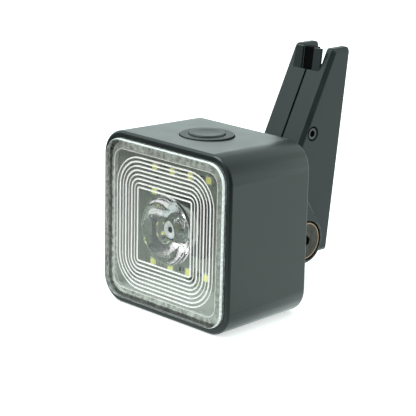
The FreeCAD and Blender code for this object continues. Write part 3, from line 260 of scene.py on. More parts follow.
class Shape:
    """Points and faces of one piece while it is put together."""

    def __init__(self):
        self.points = []
        self.faces = []
        self.finishes = []

    def add_loop(self, points):
        """Adds points and gives their numbers."""
        first = len(self.points)
        self.points.extend(points)
        return list(range(first, len(self.points)))

    def add_face(self, corners, finish=0):
        """Adds one face."""
        self.faces.append(corners)
        self.finishes.append(finish)

    def bridge(self, low, high, finish):
        """Joins two closed loops of equal count by a band of faces."""
        count = len(low)
        for number in range(count):
            after = (number + 1) % count
            self.add_face([low[number], low[after], high[after], high[number]], finish)

    def loft(self, loops, finishes=None, close_first=True, close_last=True, end_finish=0):
        """Joins a row of closed loops, with a finish for each band, and closes its ends."""
        numbered = [self.add_loop(loop) for loop in loops]
        bands = finishes or [0] * (len(loops) - 1)
        for low, high, finish in zip(numbered, numbered[1:], bands):
            self.bridge(low, high, finish)
        if close_first:
            self.add_face(numbered[0][::-1])
        if close_last:
            self.add_face(numbered[-1], end_finish)
        return self

    def make(self, name, finish_names, body, slot, replaced=()):
        """Turns the points and faces into an object that rides on a body."""
        mesh = bpy.data.meshes.new(name)
        mesh.from_pydata(self.points, [], self.faces)
        for finish_name in finish_names:
            mesh.materials.append(material_of(finish_name))
        mesh.polygons.foreach_set("material_index", self.finishes)
        mesh.update()
        face_outwards(mesh)
        mesh.polygons.foreach_set("use_smooth", [True] * len(mesh.polygons))
        mesh.set_sharp_from_angle(angle=SMOOTH_ANGLE)
        piece = bpy.data.objects.new(name, mesh)
        bpy.context.scene.collection.objects.link(piece)
        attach(piece, body)
        if replaced:
            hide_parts(*replaced)


def face_outwards(mesh):
    """Turns every face so that it looks out of its solid."""
    work = bmesh.new()
    work.from_mesh(mesh)
    bmesh.ops.recalc_face_normals(work, faces=work.faces)
    work.to_mesh(mesh)
    work.free()


def rounded_square(half, radius, y, middle_x=0.0, middle_z=LAMP_MIDDLE_Z, narrow=0.0):
    """Points of an upright square with round corners, at one depth, or of one that is
    narrower than it is high."""
    points = []
    for corner, (across, up) in enumerate(((1, 1), (-1, 1), (-1, -1), (1, -1))):
        for step in range(CORNER_STEPS + 1):
            angle = (corner + step / CORNER_STEPS) * QUARTER
            x = across * (half - radius - narrow) + radius * math.cos(angle)
            z = up * (half - radius) + radius * math.sin(angle)
            points.append(Vector((middle_x + x, y, middle_z + z)))
    return points


def circle(angle):
    """How far a circle reaches at an angle."""
    return 1.0


def hexagon(angle):
    """How far a hexagon reaches at an angle, next to the middle of its flats."""
    from_flat = (angle + SIXTH / 2) % SIXTH - SIXTH / 2
    return 1.0 / math.cos(from_flat)


def six_lobes(angle):
    """How far a six-lobed drive reaches at an angle."""
    return 1.0 + LOBE_RISE * math.cos(6 * angle)


def curve(start, middle, end, steps):
    """Points of a curve from start to end that bends towards middle."""
    points = []
    for step in range(steps + 1):
        share = step / steps
        points.append(start.lerp(middle, share).lerp(middle.lerp(end, share), share))
    return points


def rounded_path(corners):
    """A path of (along, out) points in metres, from corners in millimetres. Each corner
    is rounded over its own reach."""
    path = []
    for number, (along, out, reach) in enumerate(corners):
        here = Vector((along, out))
        if reach:
            before = Vector(corners[number - 1][:2])
            after = Vector(corners[number + 1][:2])
            start = here + (before - here).normalized() * reach
            end = here + (after - here).normalized() * reach
            path += curve(start, here, end, ROUND_STEPS)
        else:
            path.append(here)
    return [point * MM for point in path]


def turned_loops(path, origin, axis, outline=circle):
    """Loops round an axis for each point of a path."""
    side = axis.orthogonal().normalized()
    other = axis.cross(side)
    loops = []
    for along, out in path:
        loop = []
        for step in range(TURN_STEPS):
            angle = step * math.tau / TURN_STEPS
            reach = out * outline(angle)
            loop.append(
                origin + axis * along + side * reach * math.cos(angle)
                + other * reach * math.sin(angle)
            )
        loops.append(loop)
    return loops


def soften_edges(node, width):
    """Rounds the sharp edges of a CAD solid with modifiers, over its unchanged mesh."""
    weld = node.modifiers.new("Weld", "WELD")
    weld.merge_threshold = 0.001 * MM
    flatten = node.modifiers.new("Flatten", "DECIMATE")
    flatten.decimate_type = "DISSOLVE"
    flatten.angle_limit = FLAT_ANGLE
    bevel = node.modifiers.new("Bevel", "BEVEL")
    bevel.width = width
    bevel.segments = 3
    bevel.limit_method = "ANGLE"
    bevel.angle_limit = EDGE_ANGLE
    bevel.harden_normals = True


# Shader nodes

def set_sockets(tree, node, values):
    """Gives a node its values; one that is a socket is linked, any other is set."""
    for name, given in values.items():
        if isinstance(given, bpy.types.NodeSocket):
            tree.links.new(given, node.inputs[name])
        else:
            node.inputs[name].default_value = given


def add_node(tree, kind, values=None, **settings):
    """Adds a shader node with its settings and the values of its sockets."""
    node = tree.nodes.new(kind)
    for name, setting in settings.items():
        setattr(node, name, setting)
    set_sockets(tree, node, values or {})
    return node


def new_group(name, inputs, outputs):
    """Starts a shader node group with named number inputs and outputs."""
    group = bpy.data.node_groups.new(name, "ShaderNodeTree")
    for label, default in inputs:
        socket = group.interface.new_socket(
            label, in_out="INPUT", socket_type="NodeSocketFloat"
        )
        socket.default_value = default
    for label in outputs:
        group.interface.new_socket(label, in_out="OUTPUT", socket_type="NodeSocketFloat")
    source = group.nodes.new("NodeGroupInput")
    sink = group.nodes.new("NodeGroupOutput")
    return group, source.outputs, sink


def math_node(tree, operation, first, second=0.0):
    """The result of one sum."""
    node = add_node(tree, "ShaderNodeMath", {0: first, 1: second}, operation=operation)
    return node.outputs[0]


def vector_node(tree, operation, output, first, second=None):
    """The result of one sum on directions or places."""
    values = {0: first} if second is None else {0: first, 1: second}
    node = add_node(tree, "ShaderNodeVectorMath", values, operation=operation)
    return node.outputs[output]


def object_place(tree):
    """The place on the object, which moves with it."""
    return tree.nodes.new("ShaderNodeTexCoord").outputs["Object"]


def noise(tree, scale, detail):
    """A cloud pattern fixed to the object."""
    node = add_node(tree, "ShaderNodeTexNoise", {
        "Vector": object_place(tree), "Scale": scale, "Detail": detail,
    })
    return node.outputs["Fac"]


def remap(tree, factor, low, high, to_low=0.0, to_high=1.0):
    """Stretches one range of a number over another."""
    node = add_node(tree, "ShaderNodeMapRange", {
        "Value": factor, "From Min": low, "From Max": high,
        "To Min": to_low, "To Max": to_high,
    })
    return node.outputs["Result"]


def bump(tree, height, strength, distance):
    """A normal that follows a height."""
    node = add_node(tree, "ShaderNodeBump", {
        "Height": height, "Strength": strength, "Distance": distance,
    })
    return node.outputs[0]


def mix_shaders(tree, factor, first, second):
    """Goes from one shader to another by a number."""
    node = add_node(tree, "ShaderNodeMixShader", {0: factor, 1: first, 2: second})
    return node.outputs[0]


def looked_at(tree, rays):
    """One where the camera looks straight or through clear plastic, otherwise nothing."""
    return math_node(tree, "MAXIMUM", rays["Is Camera Ray"], rays["Is Transmission Ray"])


def make_grain_group():
    """Fine moulded or blasted grain: a height, slow patches of tone, and speckle."""
    group, given, result = new_group(
        "Surface Grain", [("Grain Scale", 9000.0), ("Patch Scale", 160.0)],
        ["Height", "Patches", "Speckle"],
    )
    patches = noise(group, given["Patch Scale"], 4.0)
    speckle = noise(group, math_node(group, "MULTIPLY", given["Grain Scale"], 0.37), 1.0)
    set_sockets(group, result, {
        "Height": noise(group, given["Grain Scale"], 2.0),
        "Patches": remap(group, patches, 0.35, 0.65),
        "Speckle": remap(group, speckle, 0.45, 0.62),
    })
    return group


def make_wear_group():
    """Rubbed edges: a mask that shows where the surface turns sharply."""
    group, given, result = new_group(
        "Edge Wear", [("Reach", 0.2 * MM), ("Breakup Scale", 900.0)], ["Mask"],
    )
    rounded = add_node(group, "ShaderNodeBevel", {"Radius": given["Reach"]}, samples=6)
    plain = group.nodes.new("ShaderNodeNewGeometry").outputs["Normal"]
    facing = vector_node(group, "DOT_PRODUCT", "Value", rounded.outputs[0], plain)
    edge = remap(group, facing, 0.995, 0.90)
    breakup = remap(group, noise(group, given["Breakup Scale"], 4.0), 0.40, 0.62)
    set_sockets(group, result, {"Mask": math_node(group, "MULTIPLY", edge, breakup)})
    return group


def make_turned_group():
    """Fine turned grooves round the hinge axis: a height, and the distance from it."""
    group, given, result = new_group(
        "Turned Grooves", [("Groove Pitch", 0.12 * MM)], ["Height", "Radius"],
    )
    low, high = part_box("hinge_screw")
    centre = (0.0, (low.y + high.y) / 2, (low.z + high.z) / 2)
    offset = vector_node(group, "SUBTRACT", "Vector", object_place(group), centre)
    across = vector_node(group, "MULTIPLY", "Vector", offset, (0.0, 1.0, 1.0))
    radius = vector_node(group, "LENGTH", "Value", across)
    turns = math_node(group, "DIVIDE", radius, given["Groove Pitch"])
    wave = math_node(group, "SINE", math_node(group, "MULTIPLY", turns, math.tau))
    set_sockets(group, result, {"Height": wave, "Radius": radius})
    return group


GROUP_MAKERS = {
    "Surface Grain": make_grain_group,
    "Edge Wear": make_wear_group,
    "Turned Grooves": make_turned_group,
}


def use_group(tree, name, values=None):
    """Places a shared effect in a material, and gives its outputs."""
    group = bpy.data.node_groups.get(name) or GROUP_MAKERS[name]()
    return add_node(tree, "ShaderNodeGroup", node_tree=group, values=values).outputs


def blend_colours(tree, factor, low, high):
    """Goes from one colour to another by a mask."""
    node = tree.nodes.new("ShaderNodeMix")
    node.data_type = "RGBA"
    tree.links.new(factor, node.inputs["Factor"])
    for label, colour in (("A", low), ("B", high)):
        socket = next(
            item for item in node.inputs if item.name == label and item.type == "RGBA"
        )
        if isinstance(colour, bpy.types.NodeSocket):
            tree.links.new(colour, socket)
        else:
            socket.default_value = (*colour[:3], 1.0)
    return next(item for item in node.outputs if item.type == "RGBA")


# Materials

def new_material(name):
    """An empty material with its tree, its surface shader and its output."""
    material = bpy.data.materials.new(name)
    material.use_nodes = True
    tree = material.node_tree
    tree.nodes.clear()
    surface = tree.nodes.new("ShaderNodeBsdfPrincipled")
    output = tree.nodes.new("ShaderNodeOutputMaterial")
    tree.links.new(surface.outputs[0], output.inputs["Surface"])
    return material, tree, surface


def shaded(colour, factor):
    """A colour made lighter or darker."""
    return tuple(min(1.0, channel * factor) for channel in colour)


def grained(name, colour, roughness, grain_scale=9000.0, patch_scale=160.0,
            depth=0.004 * MM, metallic=0.0, contrast=0.18, wear=0.0,
            wear_colour=(0.3, 0.3, 0.3), gloss=0.5, coat=0.0):
    """A moulded, cast or blasted surface with grain, uneven tone and rubbed edges."""
    material, tree, surface = new_material(name)
    grain = use_group(tree, "Surface Grain", {
        "Grain Scale": grain_scale, "Patch Scale": patch_scale,
    })
    tone = blend_colours(
        tree, grain["Patches"], shaded(colour, 1 - contrast), shaded(colour, 1 + contrast)
    )
    flecks = math_node(tree, "MULTIPLY", grain["Speckle"], 0.25)
    tone = blend_colours(tree, flecks, tone, shaded(colour, 1 + 3 * contrast))
    if wear:
        mask = math_node(tree, "MULTIPLY", use_group(tree, "Edge Wear")["Mask"], wear)
        tone = blend_colours(tree, mask, tone, wear_colour)
    set_sockets(tree, surface, {
        "Base Color": tone,
        "Roughness": remap(
            tree, grain["Patches"], 0.0, 1.0, roughness - 0.04, roughness + 0.05
        ),
        "Normal": bump(tree, grain["Height"], 0.6, depth),
        "Metallic": metallic,
        "Specular IOR Level": gloss,
        "Coat Weight": coat,
        "Coat Roughness": COAT_ROUGHNESS,
    })
    return material


def clear(name, colour, roughness, ior=1.49, pebble_scale=0.0, pebble_depth=0.0):
    """Clear moulded plastic that lets light through to what lies behind it."""
    material, tree, surface = new_material(name)
    grain = use_group(tree, "Surface Grain", {"Grain Scale": 2500.0, "Patch Scale": 90.0})
    set_sockets(tree, surface, {
        "Base Color": (*colour, 1.0),
        "Transmission Weight": 1.0,
        "IOR": ior,
        "Roughness": remap(tree, grain["Patches"], 0.0, 1.0, roughness, roughness + 0.03),
    })
    if pebble_scale:
        pebbles = add_node(tree, "ShaderNodeTexVoronoi", {
            "Vector": object_place(tree), "Scale": pebble_scale,
        }, feature="SMOOTH_F1")
        height = remap(tree, pebbles.outputs["Distance"], 0.05, 0.35, 1.0, 0.0)
        set_sockets(tree, surface, {"Normal": bump(tree, height, 1.0, pebble_depth)})
    through = tree.nodes.new("ShaderNodeBsdfTransparent").outputs[0]
    rays = tree.nodes.new("ShaderNodeLightPath").outputs
    mixed = mix_shaders(tree, rays["Is Shadow Ray"], surface.outputs[0], through)
    tree.links.new(mixed, tree.nodes["Material Output"].inputs["Surface"])
    return material


def frosted(name, colour, roughness, through=0.0, contrast=0.03, patch_scale=700.0,
            glow=0.0):
    """Clear plastic that scatters much of the light and lets a part of it through. A glow,
    where given, is painted light: the surface gives off its colour, though it is no lamp."""
    material = grained(name, colour, roughness, contrast=contrast, grain_scale=3500.0,
                       patch_scale=patch_scale)
    tree = material.node_tree
    surface = tree.nodes["Principled BSDF"]
    surface.inputs["Transmission Weight"].default_value = through
    # Painted glow: emission of the surface's own colour, though it is no lamp
    if glow:
        set_sockets(tree, surface, {
            "Emission Color": surface.inputs["Base Color"].links[0].from_socket,
            "Emission Strength": glow,
        })
    return material


def turned_metal(name, colour, roughness, rim_start, rim_width):
    """Turned metal with fine grooves, and a worn ring of another colour."""
    material, tree, surface = new_material(name)
    grooves = use_group(tree, "Turned Grooves")
    grain = use_group(tree, "Surface Grain", {"Grain Scale": 5000.0, "Patch Scale": 700.0})
    tone = blend_colours(tree, grain["Patches"], shaded(colour, 0.8), shaded(colour, 1.2))
    fade, rim_end = 0.06 * MM, rim_start + rim_width
    within = remap(tree, grooves["Radius"], rim_end, rim_end + fade, 1.0, 0.0)
    rim = math_node(
        tree, "MULTIPLY", remap(tree, grooves["Radius"], rim_start, rim_start + fade), within
    )
    set_sockets(tree, surface, {
        "Base Color": blend_colours(
            tree, rim, tone, bpy.context.scene.headlight_colours.rim
        ),
        "Roughness": remap(tree, grain["Speckle"], 0.0, 1.0, roughness, roughness + 0.12),
        "Normal": bump(tree, grooves["Height"], 0.5, 0.006 * MM),
        "Metallic": 1.0,
    })
    return material


# Each finish: its maker, a colour or the name of a colour that a user may change, its
# roughness and what else is its own
WHITE = (1.0, 1.0, 1.0)
MILKY = (1.0, 0.96, 0.94)

FINISHES = {
    "Satin Graphite": (grained, "graphite", 0.42, dict(
        wear=0.15, wear_colour=(0.14, 0.16, 0.155), gloss=0.2, coat=0.75,
    )),
    "Back Plate Plastic": (grained, "arm", 0.46, dict(wear=0.9)),
    "Arm Plastic": (grained, "arm", 0.44, dict(
        wear=0.35, wear_colour=(0.10, 0.11, 0.105), gloss=0.45,
    )),
    "Clear Lens": (clear, WHITE, 0.02, dict()),
    # Painted highlight: milky white crests and a glow stand in for the bright lines that clear
    # ribs catch
    "Frosted Ribs": (frosted, MILKY, 0.4, dict(glow=0.22)),
    # Painted highlight: milky white on the lens bevel and its exposed side gives their bright
    # edge line; also used on the optic's ring
    "Lens Edge": (frosted, MILKY, 0.25, dict(
        through=0.15, contrast=0.2, patch_scale=1500.0,
    )),
    # Lens Side, Lens Border and Window Wall carry a painted glow, as though light came out of
    # the lens from inside
    "Lens Side": (frosted, (0.33, 0.35, 0.33), 0.4, dict(
        contrast=0.55, patch_scale=1400.0, glow=0.25,
    )),
    "Lens Border": (frosted, (0.58, 0.62, 0.56), 0.4, dict(
        contrast=0.45, patch_scale=1100.0, glow=0.1,
    )),
    "Window Wall": (frosted, (0.6, 0.63, 0.58), 0.4, dict(
        contrast=0.3, patch_scale=1100.0, glow=0.1,
    )),
    # Painted shade: near black in the optic's middle pit and groove, where the clear optic only
    # looks dark
    "Dark Pit": (grained, (0.03, 0.032, 0.03), 0.3, dict(contrast=0.3)),
    "Clear Optic": (clear, WHITE, 0.02, dict(ior=1.52)),
    "Pebbled Optic": (clear, WHITE, 0.03, dict(
        ior=1.52, pebble_scale=1500.0, pebble_depth=0.05 * MM,
    )),
    "Gasket Silicone": (grained, "gasket", 0.5, dict(
        grain_scale=1800.0, patch_scale=900.0, contrast=0.5,
    )),
    "Button Rubber": (grained, "button", 0.55, dict(grain_scale=7000.0, coat=0.35)),
    "Button Ring Rubber": (grained, "button", 0.52, dict(grain_scale=7000.0, coat=0.22)),
    "Flap Rubber": (grained, (0.022, 0.022, 0.022), 0.66, dict(
        grain_scale=6000.0, gloss=0.3,
    )),
    # Near black, darker than rubber: the liner's own black and painted shade for the deep slot
    # of the fork
    "Liner Rubber": (grained, (0.002, 0.002, 0.002), 0.7, dict(
        grain_scale=5000.0, gloss=0.04,
    )),
    "Reflector Plastic": (grained, "reflector", 0.35, dict(
        grain_scale=4000.0, contrast=0.08,
    )),
    "Light Board Mask": (grained, "board", 0.4, dict(grain_scale=3000.0, contrast=0.1)),
    "Light Package": (grained, (0.72, 0.74, 0.66), 0.4, dict(contrast=0.04)),
    # The lights are off; the phosphor's glow is painted light that brightens them where little
    # light reaches
    "Phosphor": (frosted, "phosphor", 0.5, dict(contrast=0.12, glow=0.2)),
    # A dimmer, greyer copy of the phosphor: painted shade that dims the yellow the optic shows
    # of the main light
    "Main Phosphor": (grained, (0.30, 0.31, 0.16), 0.5, dict(
        grain_scale=12000.0, contrast=0.12,
    )),
    "Optic Holder Plastic": (grained, (0.06, 0.065, 0.06), 0.5, dict()),
    "Bright Steel": (grained, (0.52, 0.52, 0.53), 0.3, dict(
        metallic=1.0, contrast=0.1, grain_scale=5000.0,
    )),
    "Dull Steel": (grained, (0.085, 0.09, 0.087), 0.4, dict(
        metallic=1.0, contrast=0.15, grain_scale=5000.0,
    )),
    "Shadow Black": (grained, (0.006, 0.006, 0.006), 0.6, dict(gloss=0.1)),
    "Blackened Steel": (grained, (0.10, 0.10, 0.105), 0.38, dict(
        metallic=1.0, contrast=0.2, grain_scale=5000.0, wear=0.6,
        wear_colour=(0.4, 0.4, 0.4),
    )),
    "Hinge Steel": (turned_metal, (0.068, 0.064, 0.057), 0.38, dict(
        rim_start=3.6 * MM, rim_width=0.2 * MM,
    )),
    "Brass": (grained, (0.55, 0.40, 0.16), 0.34, dict(metallic=1.0, contrast=0.15)),
    "Cell Foil": (grained, (0.60, 0.61, 0.62), 0.28, dict(
        metallic=1.0, contrast=0.08, grain_scale=1200.0, depth=0.01 * MM,
    )),
    "Grey Foam": (grained, (0.10, 0.10, 0.10), 0.9, dict(
        grain_scale=2500.0, depth=0.05 * MM,
    )),
    "Circuit Board": (grained, (0.015, 0.09, 0.035), 0.4, dict(grain_scale=2500.0)),
    "Board Components": (grained, (0.03, 0.03, 0.03), 0.5, dict()),
    "Socket Steel": (grained, (0.58, 0.58, 0.59), 0.25, dict(metallic=1.0, contrast=0.06)),
}


def material_of(name):
    """A finish by its name, built the first time it is asked for."""
    made = bpy.data.materials.get(name)
    if made:
        return made
    maker, colour, roughness, others = FINISHES[name]
    if isinstance(colour, str):
        colour = getattr(bpy.context.scene.headlight_colours, colour)
    return maker(name, colour, roughness, **others)


# Pieces

LENS_FINISHES = ("Clear Lens", "Frosted Ribs", "Lens Edge", "Lens Side", "Lens Border",
                 "Window Wall", "Shadow Black")
CLEAR, RIB, EDGE, SIDE, BORDER, WALL, SHADE_LINE = range(len(LENS_FINISHES))


class HEADLIGHT_OT_lens(bpy.types.Operator):
    """Build the clear lens with its nested square ribs"""

    bl_idname = "headlight.lens"
    bl_label = "Lens"

    def execute(self, context):
        size = context.scene.headlight_sizes
        front, back = LENS_LOW.y, LENS_HIGH.y
        half = (LENS_HIGH.x - LENS_LOW.x) / 2
        corner, edge = size.lens_corner, size.lens_edge
        loops = [rounded_square(half - edge, corner - edge, front)]
        finishes = []
        for step in range(1, ROUND_STEPS + 1):
            turn = step * QUARTER / ROUND_STEPS
            reach = edge * (1 - math.sin(turn))
            loops.append(rounded_square(
                half - reach, corner - reach, front + edge * (1 - math.cos(turn))
            ))
            finishes.append(EDGE if step > ROUND_STEPS / 2 else CLEAR)
        # The band just in front of the rim is painted shade
        for depth in (HOUSING_LOW.y - size.shade_line_width, HOUSING_LOW.y, back):
            loops.append(rounded_square(half, corner, depth))
        window = half - size.window_inset
        recess = back - size.window_depth
        draft, window_corner = 0.1 * MM, 2.5 * MM
        loops.append(rounded_square(window, window_corner, back))
        loops.append(rounded_square(window - draft, window_corner - draft, recess))
        finishes += [EDGE, SHADE_LINE, SIDE, BORDER, WALL]
        finishes += self.add_rib(
            loops, recess, size.border_rib, window_corner - draft, 0.07 * MM, 0.06 * MM
        )
        for number in range(size.ring_count):
            middle = size.ring_start - number * size.ring_pitch
            radius = INNER_RIB_CORNER + (size.ring_count - 1 - number) * size.ring_pitch
            thin = (number + 1) % 2 * ODD_RIB_THINNING
            finishes += self.add_rib(
                loops, recess, middle, radius, size.rib_width / 2, size.rib_height, thin
            )
        Shape().loft(loops, finishes).make(
            "lens_cover", LENS_FINISHES, "lamp", "clear_cover", ["lens"]
        )
        return {"FINISHED"}

    def add_rib(self, loops, recess, middle, radius, outer, height, thin=0.0):
        """A square rib, thinner along its upright sides, and the finishes of its bands."""
        crest = outer * 0.6
        for reach, lift in ((outer, 0.0), (crest, height), (-crest, height), (-outer, 0.0)):
            loops.append(rounded_square(
                middle + reach, max(radius + reach, 0.05 * MM), recess + lift,
                narrow=math.copysign(thin * abs(reach) / outer, reach),
            ))
        return [CLEAR, RIB, RIB, RIB]


class HEADLIGHT_OT_optic(bpy.types.Operator):
    """Build the clear cup that gathers the main light"""

    bl_idname = "headlight.optic"
    bl_label = "Optic"

    def execute(self, context):
        front = LENS_HIGH.y - context.scene.headlight_sizes.optic_reach
        length = (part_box("collimator")[1].y - front) / MM
        dimple = rounded_path([
            (1.9, FINE_POINT, 0), (1.9, 0.5, 0), (1.45, 0.6, 0), (1.35, 0.75, 0),
            (1.3, 1.55, 0), (1.45, 1.8, 0), (1.75, 1.85, 0), (1.75, 2.2, 0),
            (0.25, 2.5, 0.08), (0, 2.65, 0),
        ])
        rim = rounded_path([(0, 2.65, 0), (0, 7.0, 0.12), (0.7, 7.0, 0)])
        wall = curve(
            Vector((0.75, 6.6)), Vector((2.2, 5.95)), Vector((length, 3.0)), CURVE_STEPS
        )
        pocket = rounded_path([
            (length, 2.1, 0), (length - 1.3, 2.0, 0), (length - 1.55, 1.4, 0.3),
            (length - 1.7, FINE_POINT, 0),
        ])
        path = dimple[:-1] + rim + [point * MM for point in wall] + pocket
        body, front_face, pit, ring = range(4)
        bands = [body] * (len(path) - 1)
        # The pit and the groove round the ring take the painted shade
        bands[:7] = [pit, pit, ring, ring, ring, pit, pit]
        bands[len(dimple) - 1] = front_face
        loops = turned_loops(path, Vector((0, front, LAMP_MIDDLE_Z)), BACKWARDS)
        Shape().loft(loops, bands).make(
            "beam_optic", ["Clear Optic", "Pebbled Optic", "Dark Pit", "Lens Edge"],
            "lamp", "clear_optic", ["collimator"],
        )
        return {"FINISHED"}


class HEADLIGHT_OT_lights(bpy.types.Operator):
    """Build the small lights in their square, and the main light under the optic"""

    bl_idname = "headlight.lights"
    bl_label = "Lights"

    def execute(self, context):
        low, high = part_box("chip_leds")
        outermost = 2
        pitch = ((high.x - low.x) / 2 - 0.85 * MM) / outermost
        steps = range(-outermost, outermost + 1)
        chips = Shape()
        for column in steps:
            for rank in steps:
                if max(abs(column), abs(rank)) == outermost:
                    self.add_chip(
                        chips, column * pitch, LAMP_MIDDLE_Z + rank * pitch, low.y, high.y
                    )
        chips.make("side_lights", ["Light Package", "Phosphor"], "lamp", "phosphor",
                   ["chip_leds"])
        self.add_main()
        return {"FINISHED"}

    def add_chip(self, shape, x, z, face, foot):
        """One package with a sunk phosphor window."""
        half, corner, slope = 0.82 * MM, 0.08 * MM, 0.05 * MM
        window, window_corner, sink = 0.62 * MM, 0.56 * MM, 0.08 * MM
        mouth = rounded_square(window + slope, 0.6 * MM, face, x, z)
        shape.loft([
            rounded_square(half, corner, foot, x, z),
            rounded_square(half, corner, face + slope, x, z),
            rounded_square(half - slope, corner, face, x, z), mouth,
        ], close_last=False)
        shape.loft([
            mouth, rounded_square(window, window_corner, face + sink, x, z),
        ], [1], close_first=False, end_finish=1)

    def add_main(self):
        """The main package: a square base with a phosphor square, and a clear dome."""
        low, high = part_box("main_led")
        half, corner, slope = (high.x - low.x) / 2, 0.15 * MM, 0.06 * MM
        window, window_corner = 0.75 * MM, 0.1 * MM
        top = high.y - 0.7 * MM
        Shape().loft([
            rounded_square(half, corner, high.y),
            rounded_square(half, corner, top + slope),
            rounded_square(half - slope, corner, top),
            rounded_square(window, window_corner, top),
            rounded_square(window, window_corner, top - 0.08 * MM),
        ], [0, 0, 0, 1], end_finish=1).make(
            "main_light_base", ["Light Package", "Main Phosphor"], "lamp", "phosphor",
            ["main_led"],
        )
        rise, radius, count = top - low.y, 1.4 * MM, 12
        path = [
            Vector((rise * math.cos(angle), radius * math.sin(angle)))
            for angle in (step * QUARTER / count for step in range(count + 1))
        ]
        path[0].y = FINE_POINT * MM
        loops = turned_loops(path, Vector((0, top, LAMP_MIDDLE_Z)), -BACKWARDS)
        Shape().loft(loops).make("main_light_dome", ["Clear Optic"], "lamp", "clear_optic")


class HEADLIGHT_OT_board_details(bpy.types.Operator):
    """Build the small screws and parts on the light board"""

    bl_idname = "headlight.board_details"
    bl_label = "Light board details"

    def execute(self, context):
        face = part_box("led_board")[0].y
        self.add_screws(face)
        self.add_parts(face)
        return {"FINISHED"}

    def add_screws(self, face):
        """Four low heads with six-lobed drives, near the corners of the board."""
        reach = 12.5 * MM
        head = rounded_path([(0, 1.0, 0), (0.5, 1.0, 0.12), (0.55, 0.55, 0)])
        drive = rounded_path([(0.55, 0.42, 0), (0.25, 0.40, 0)])
        screws = Shape()
        for across in (-1, 1):
            for up in (-1, 1):
                origin = Vector((across * reach, face, LAMP_MIDDLE_Z + up * reach))
                screws.loft(
                    turned_loops(head, origin, -BACKWARDS)
                    + turned_loops(drive, origin, -BACKWARDS, six_lobes)
                )
        screws.make("light_board_screws", ["Bright Steel"], "lamp", "steel_screw")

    def add_parts(self, face):
        """Rows of tiny resistors between the lights, each with a bright cap at its ends."""
        corner, rise, from_middle = 0.05 * MM, 0.3 * MM, 9.6
        blocks = ((0.0, 0.34, 0), (-0.3, 0.3, 1), (0.3, 0.3, 1))
        parts = Shape()
        for turn in range(4):
            cos, sin = math.cos(turn * QUARTER), math.sin(turn * QUARTER)
            for along in (-7.2, -2.4, 2.4, 7.2):
                for offset, half, finish in blocks:
                    x = ((along + offset) * cos - from_middle * sin) * MM
                    z = LAMP_MIDDLE_Z + ((along + offset) * sin + from_middle * cos) * MM
                    parts.loft([
                        rounded_square(half * MM, corner, depth, x, z)
                        for depth in (face, face - rise)
                    ], [finish], end_finish=finish)
        parts.make("light_board_parts", ["Board Components", "Bright Steel"], "lamp",
                   "board_components")


class HEADLIGHT_OT_button(bpy.types.Operator):
    """Build the rubber ring and the soft cap of the push button"""

    bl_idname = "headlight.button"
    bl_label = "Push button"

    def execute(self, context):
        self.add_ring()
        self.add_cap()
        return {"FINISHED"}

    def add_ring(self):
        """The ring that stands on the lamp's top, with its outer wall in painted shade."""
        low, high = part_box("button_seal")
        origin = Vector(((low.x + high.x) / 2, (low.y + high.y) / 2, low.z))
        outer, rise = (high.x - low.x) / 2 / MM, (high.z - low.z) / MM
        foot, bore, ledge = 4.38, 3.72, rise - 0.4
        loops = turned_loops(rounded_path([
            (0, foot, 0), (0, outer, 0.08), (rise, outer, 0.22), (rise, bore, 0.15),
            (ledge, bore, 0), (ledge, foot, 0),
        ]), origin, UPWARDS)
        finishes = [0] * len(loops)
        # The outer wall takes Shadow Black, painted shade where the ring meets the housing
        finishes[ROUND_STEPS + 1:ROUND_STEPS + 4] = [1, 1, 1]
        loops.append(loops[0])
        Shape().loft(loops, finishes, close_first=False, close_last=False).make(
            "button_ring", ["Button Ring Rubber", "Shadow Black"], "lamp", "soft_seal",
            ["button_seal"],
        )

    def add_cap(self):
        """The cap with its stem, its flange and a shallow hollow on top."""
        low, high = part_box("button_cap")
        origin = Vector(((low.x + high.x) / 2, (low.y + high.y) / 2, low.z))
        rise = (high.z - low.z) / MM
        stem, flange, side = 1.5, 4.25, 3.6
        loops = turned_loops(rounded_path([
            (0, BLUNT_POINT, 0), (0, stem, 0.1), (2.2, stem, 0), (2.2, flange, 0.05),
            (2.6, flange, 0.05), (2.6, side, 0), (rise, side, 0.3), (rise, 2.9, 0.3),
            (rise - 0.14, 1.6, 0.8), (rise - 0.16, BLUNT_POINT, 0),
        ]), origin, UPWARDS)
        Shape().loft(loops).make(
            "button_top", ["Button Rubber"], "button", "button_rubber", ["button_cap"]
        )


# Corners of the screws in millimetres. The tip has a radius and a rounding; those of the
# head and of the drive have a depth below the head's face, a radius and a rounding.
SCREW_FORMS = {
    "hinge_screw": {
        "tip": (2.0, 0.15),
        "head": ((1.3, 2.0, 0), (1.3, 4.14, 0.06), (0.25, 4.14, 0.06), (0, 3.9, 0.06),
                 (0, 1.6, 0.05), (0.06, 1.5, 0)),
        "drive": ((0.06, 1.06, 0), (0.12, 1.0, 0), (0.9, 1.0, 0)),
        "outline": hexagon,
    },
    "pinch_screw": {
        "tip": (0.9, 0.1),
        "head": ((1.6, 0.9, 0), (1.6, 1.4, 0.05), (0.3, 1.4, 0.04), (0, 1.16, 0.04),
                 (0, 0.85, 0.04), (0.03, 0.8, 0)),
        "drive": ((0.05, 0.68, 0), (0.1, 0.65, 0), (0.8, 0.65, 0)),
        "outline": hexagon,
    },
    "plate_screws": {
        "tip": (1.0, 0.15),
        "head": ((1.0, 1.0, 0), (0.9, 1.9, 0), (0, 1.9, 0.2), (0, 0.95, 0.04),
                 (0.03, 0.9, 0)),
        "drive": ((0.05, 0.74, 0), (0.1, 0.7, 0), (0.6, 0.62, 0)),
        "outline": six_lobes,
    },
}
PINCH_SHADOW_BANDS = 17


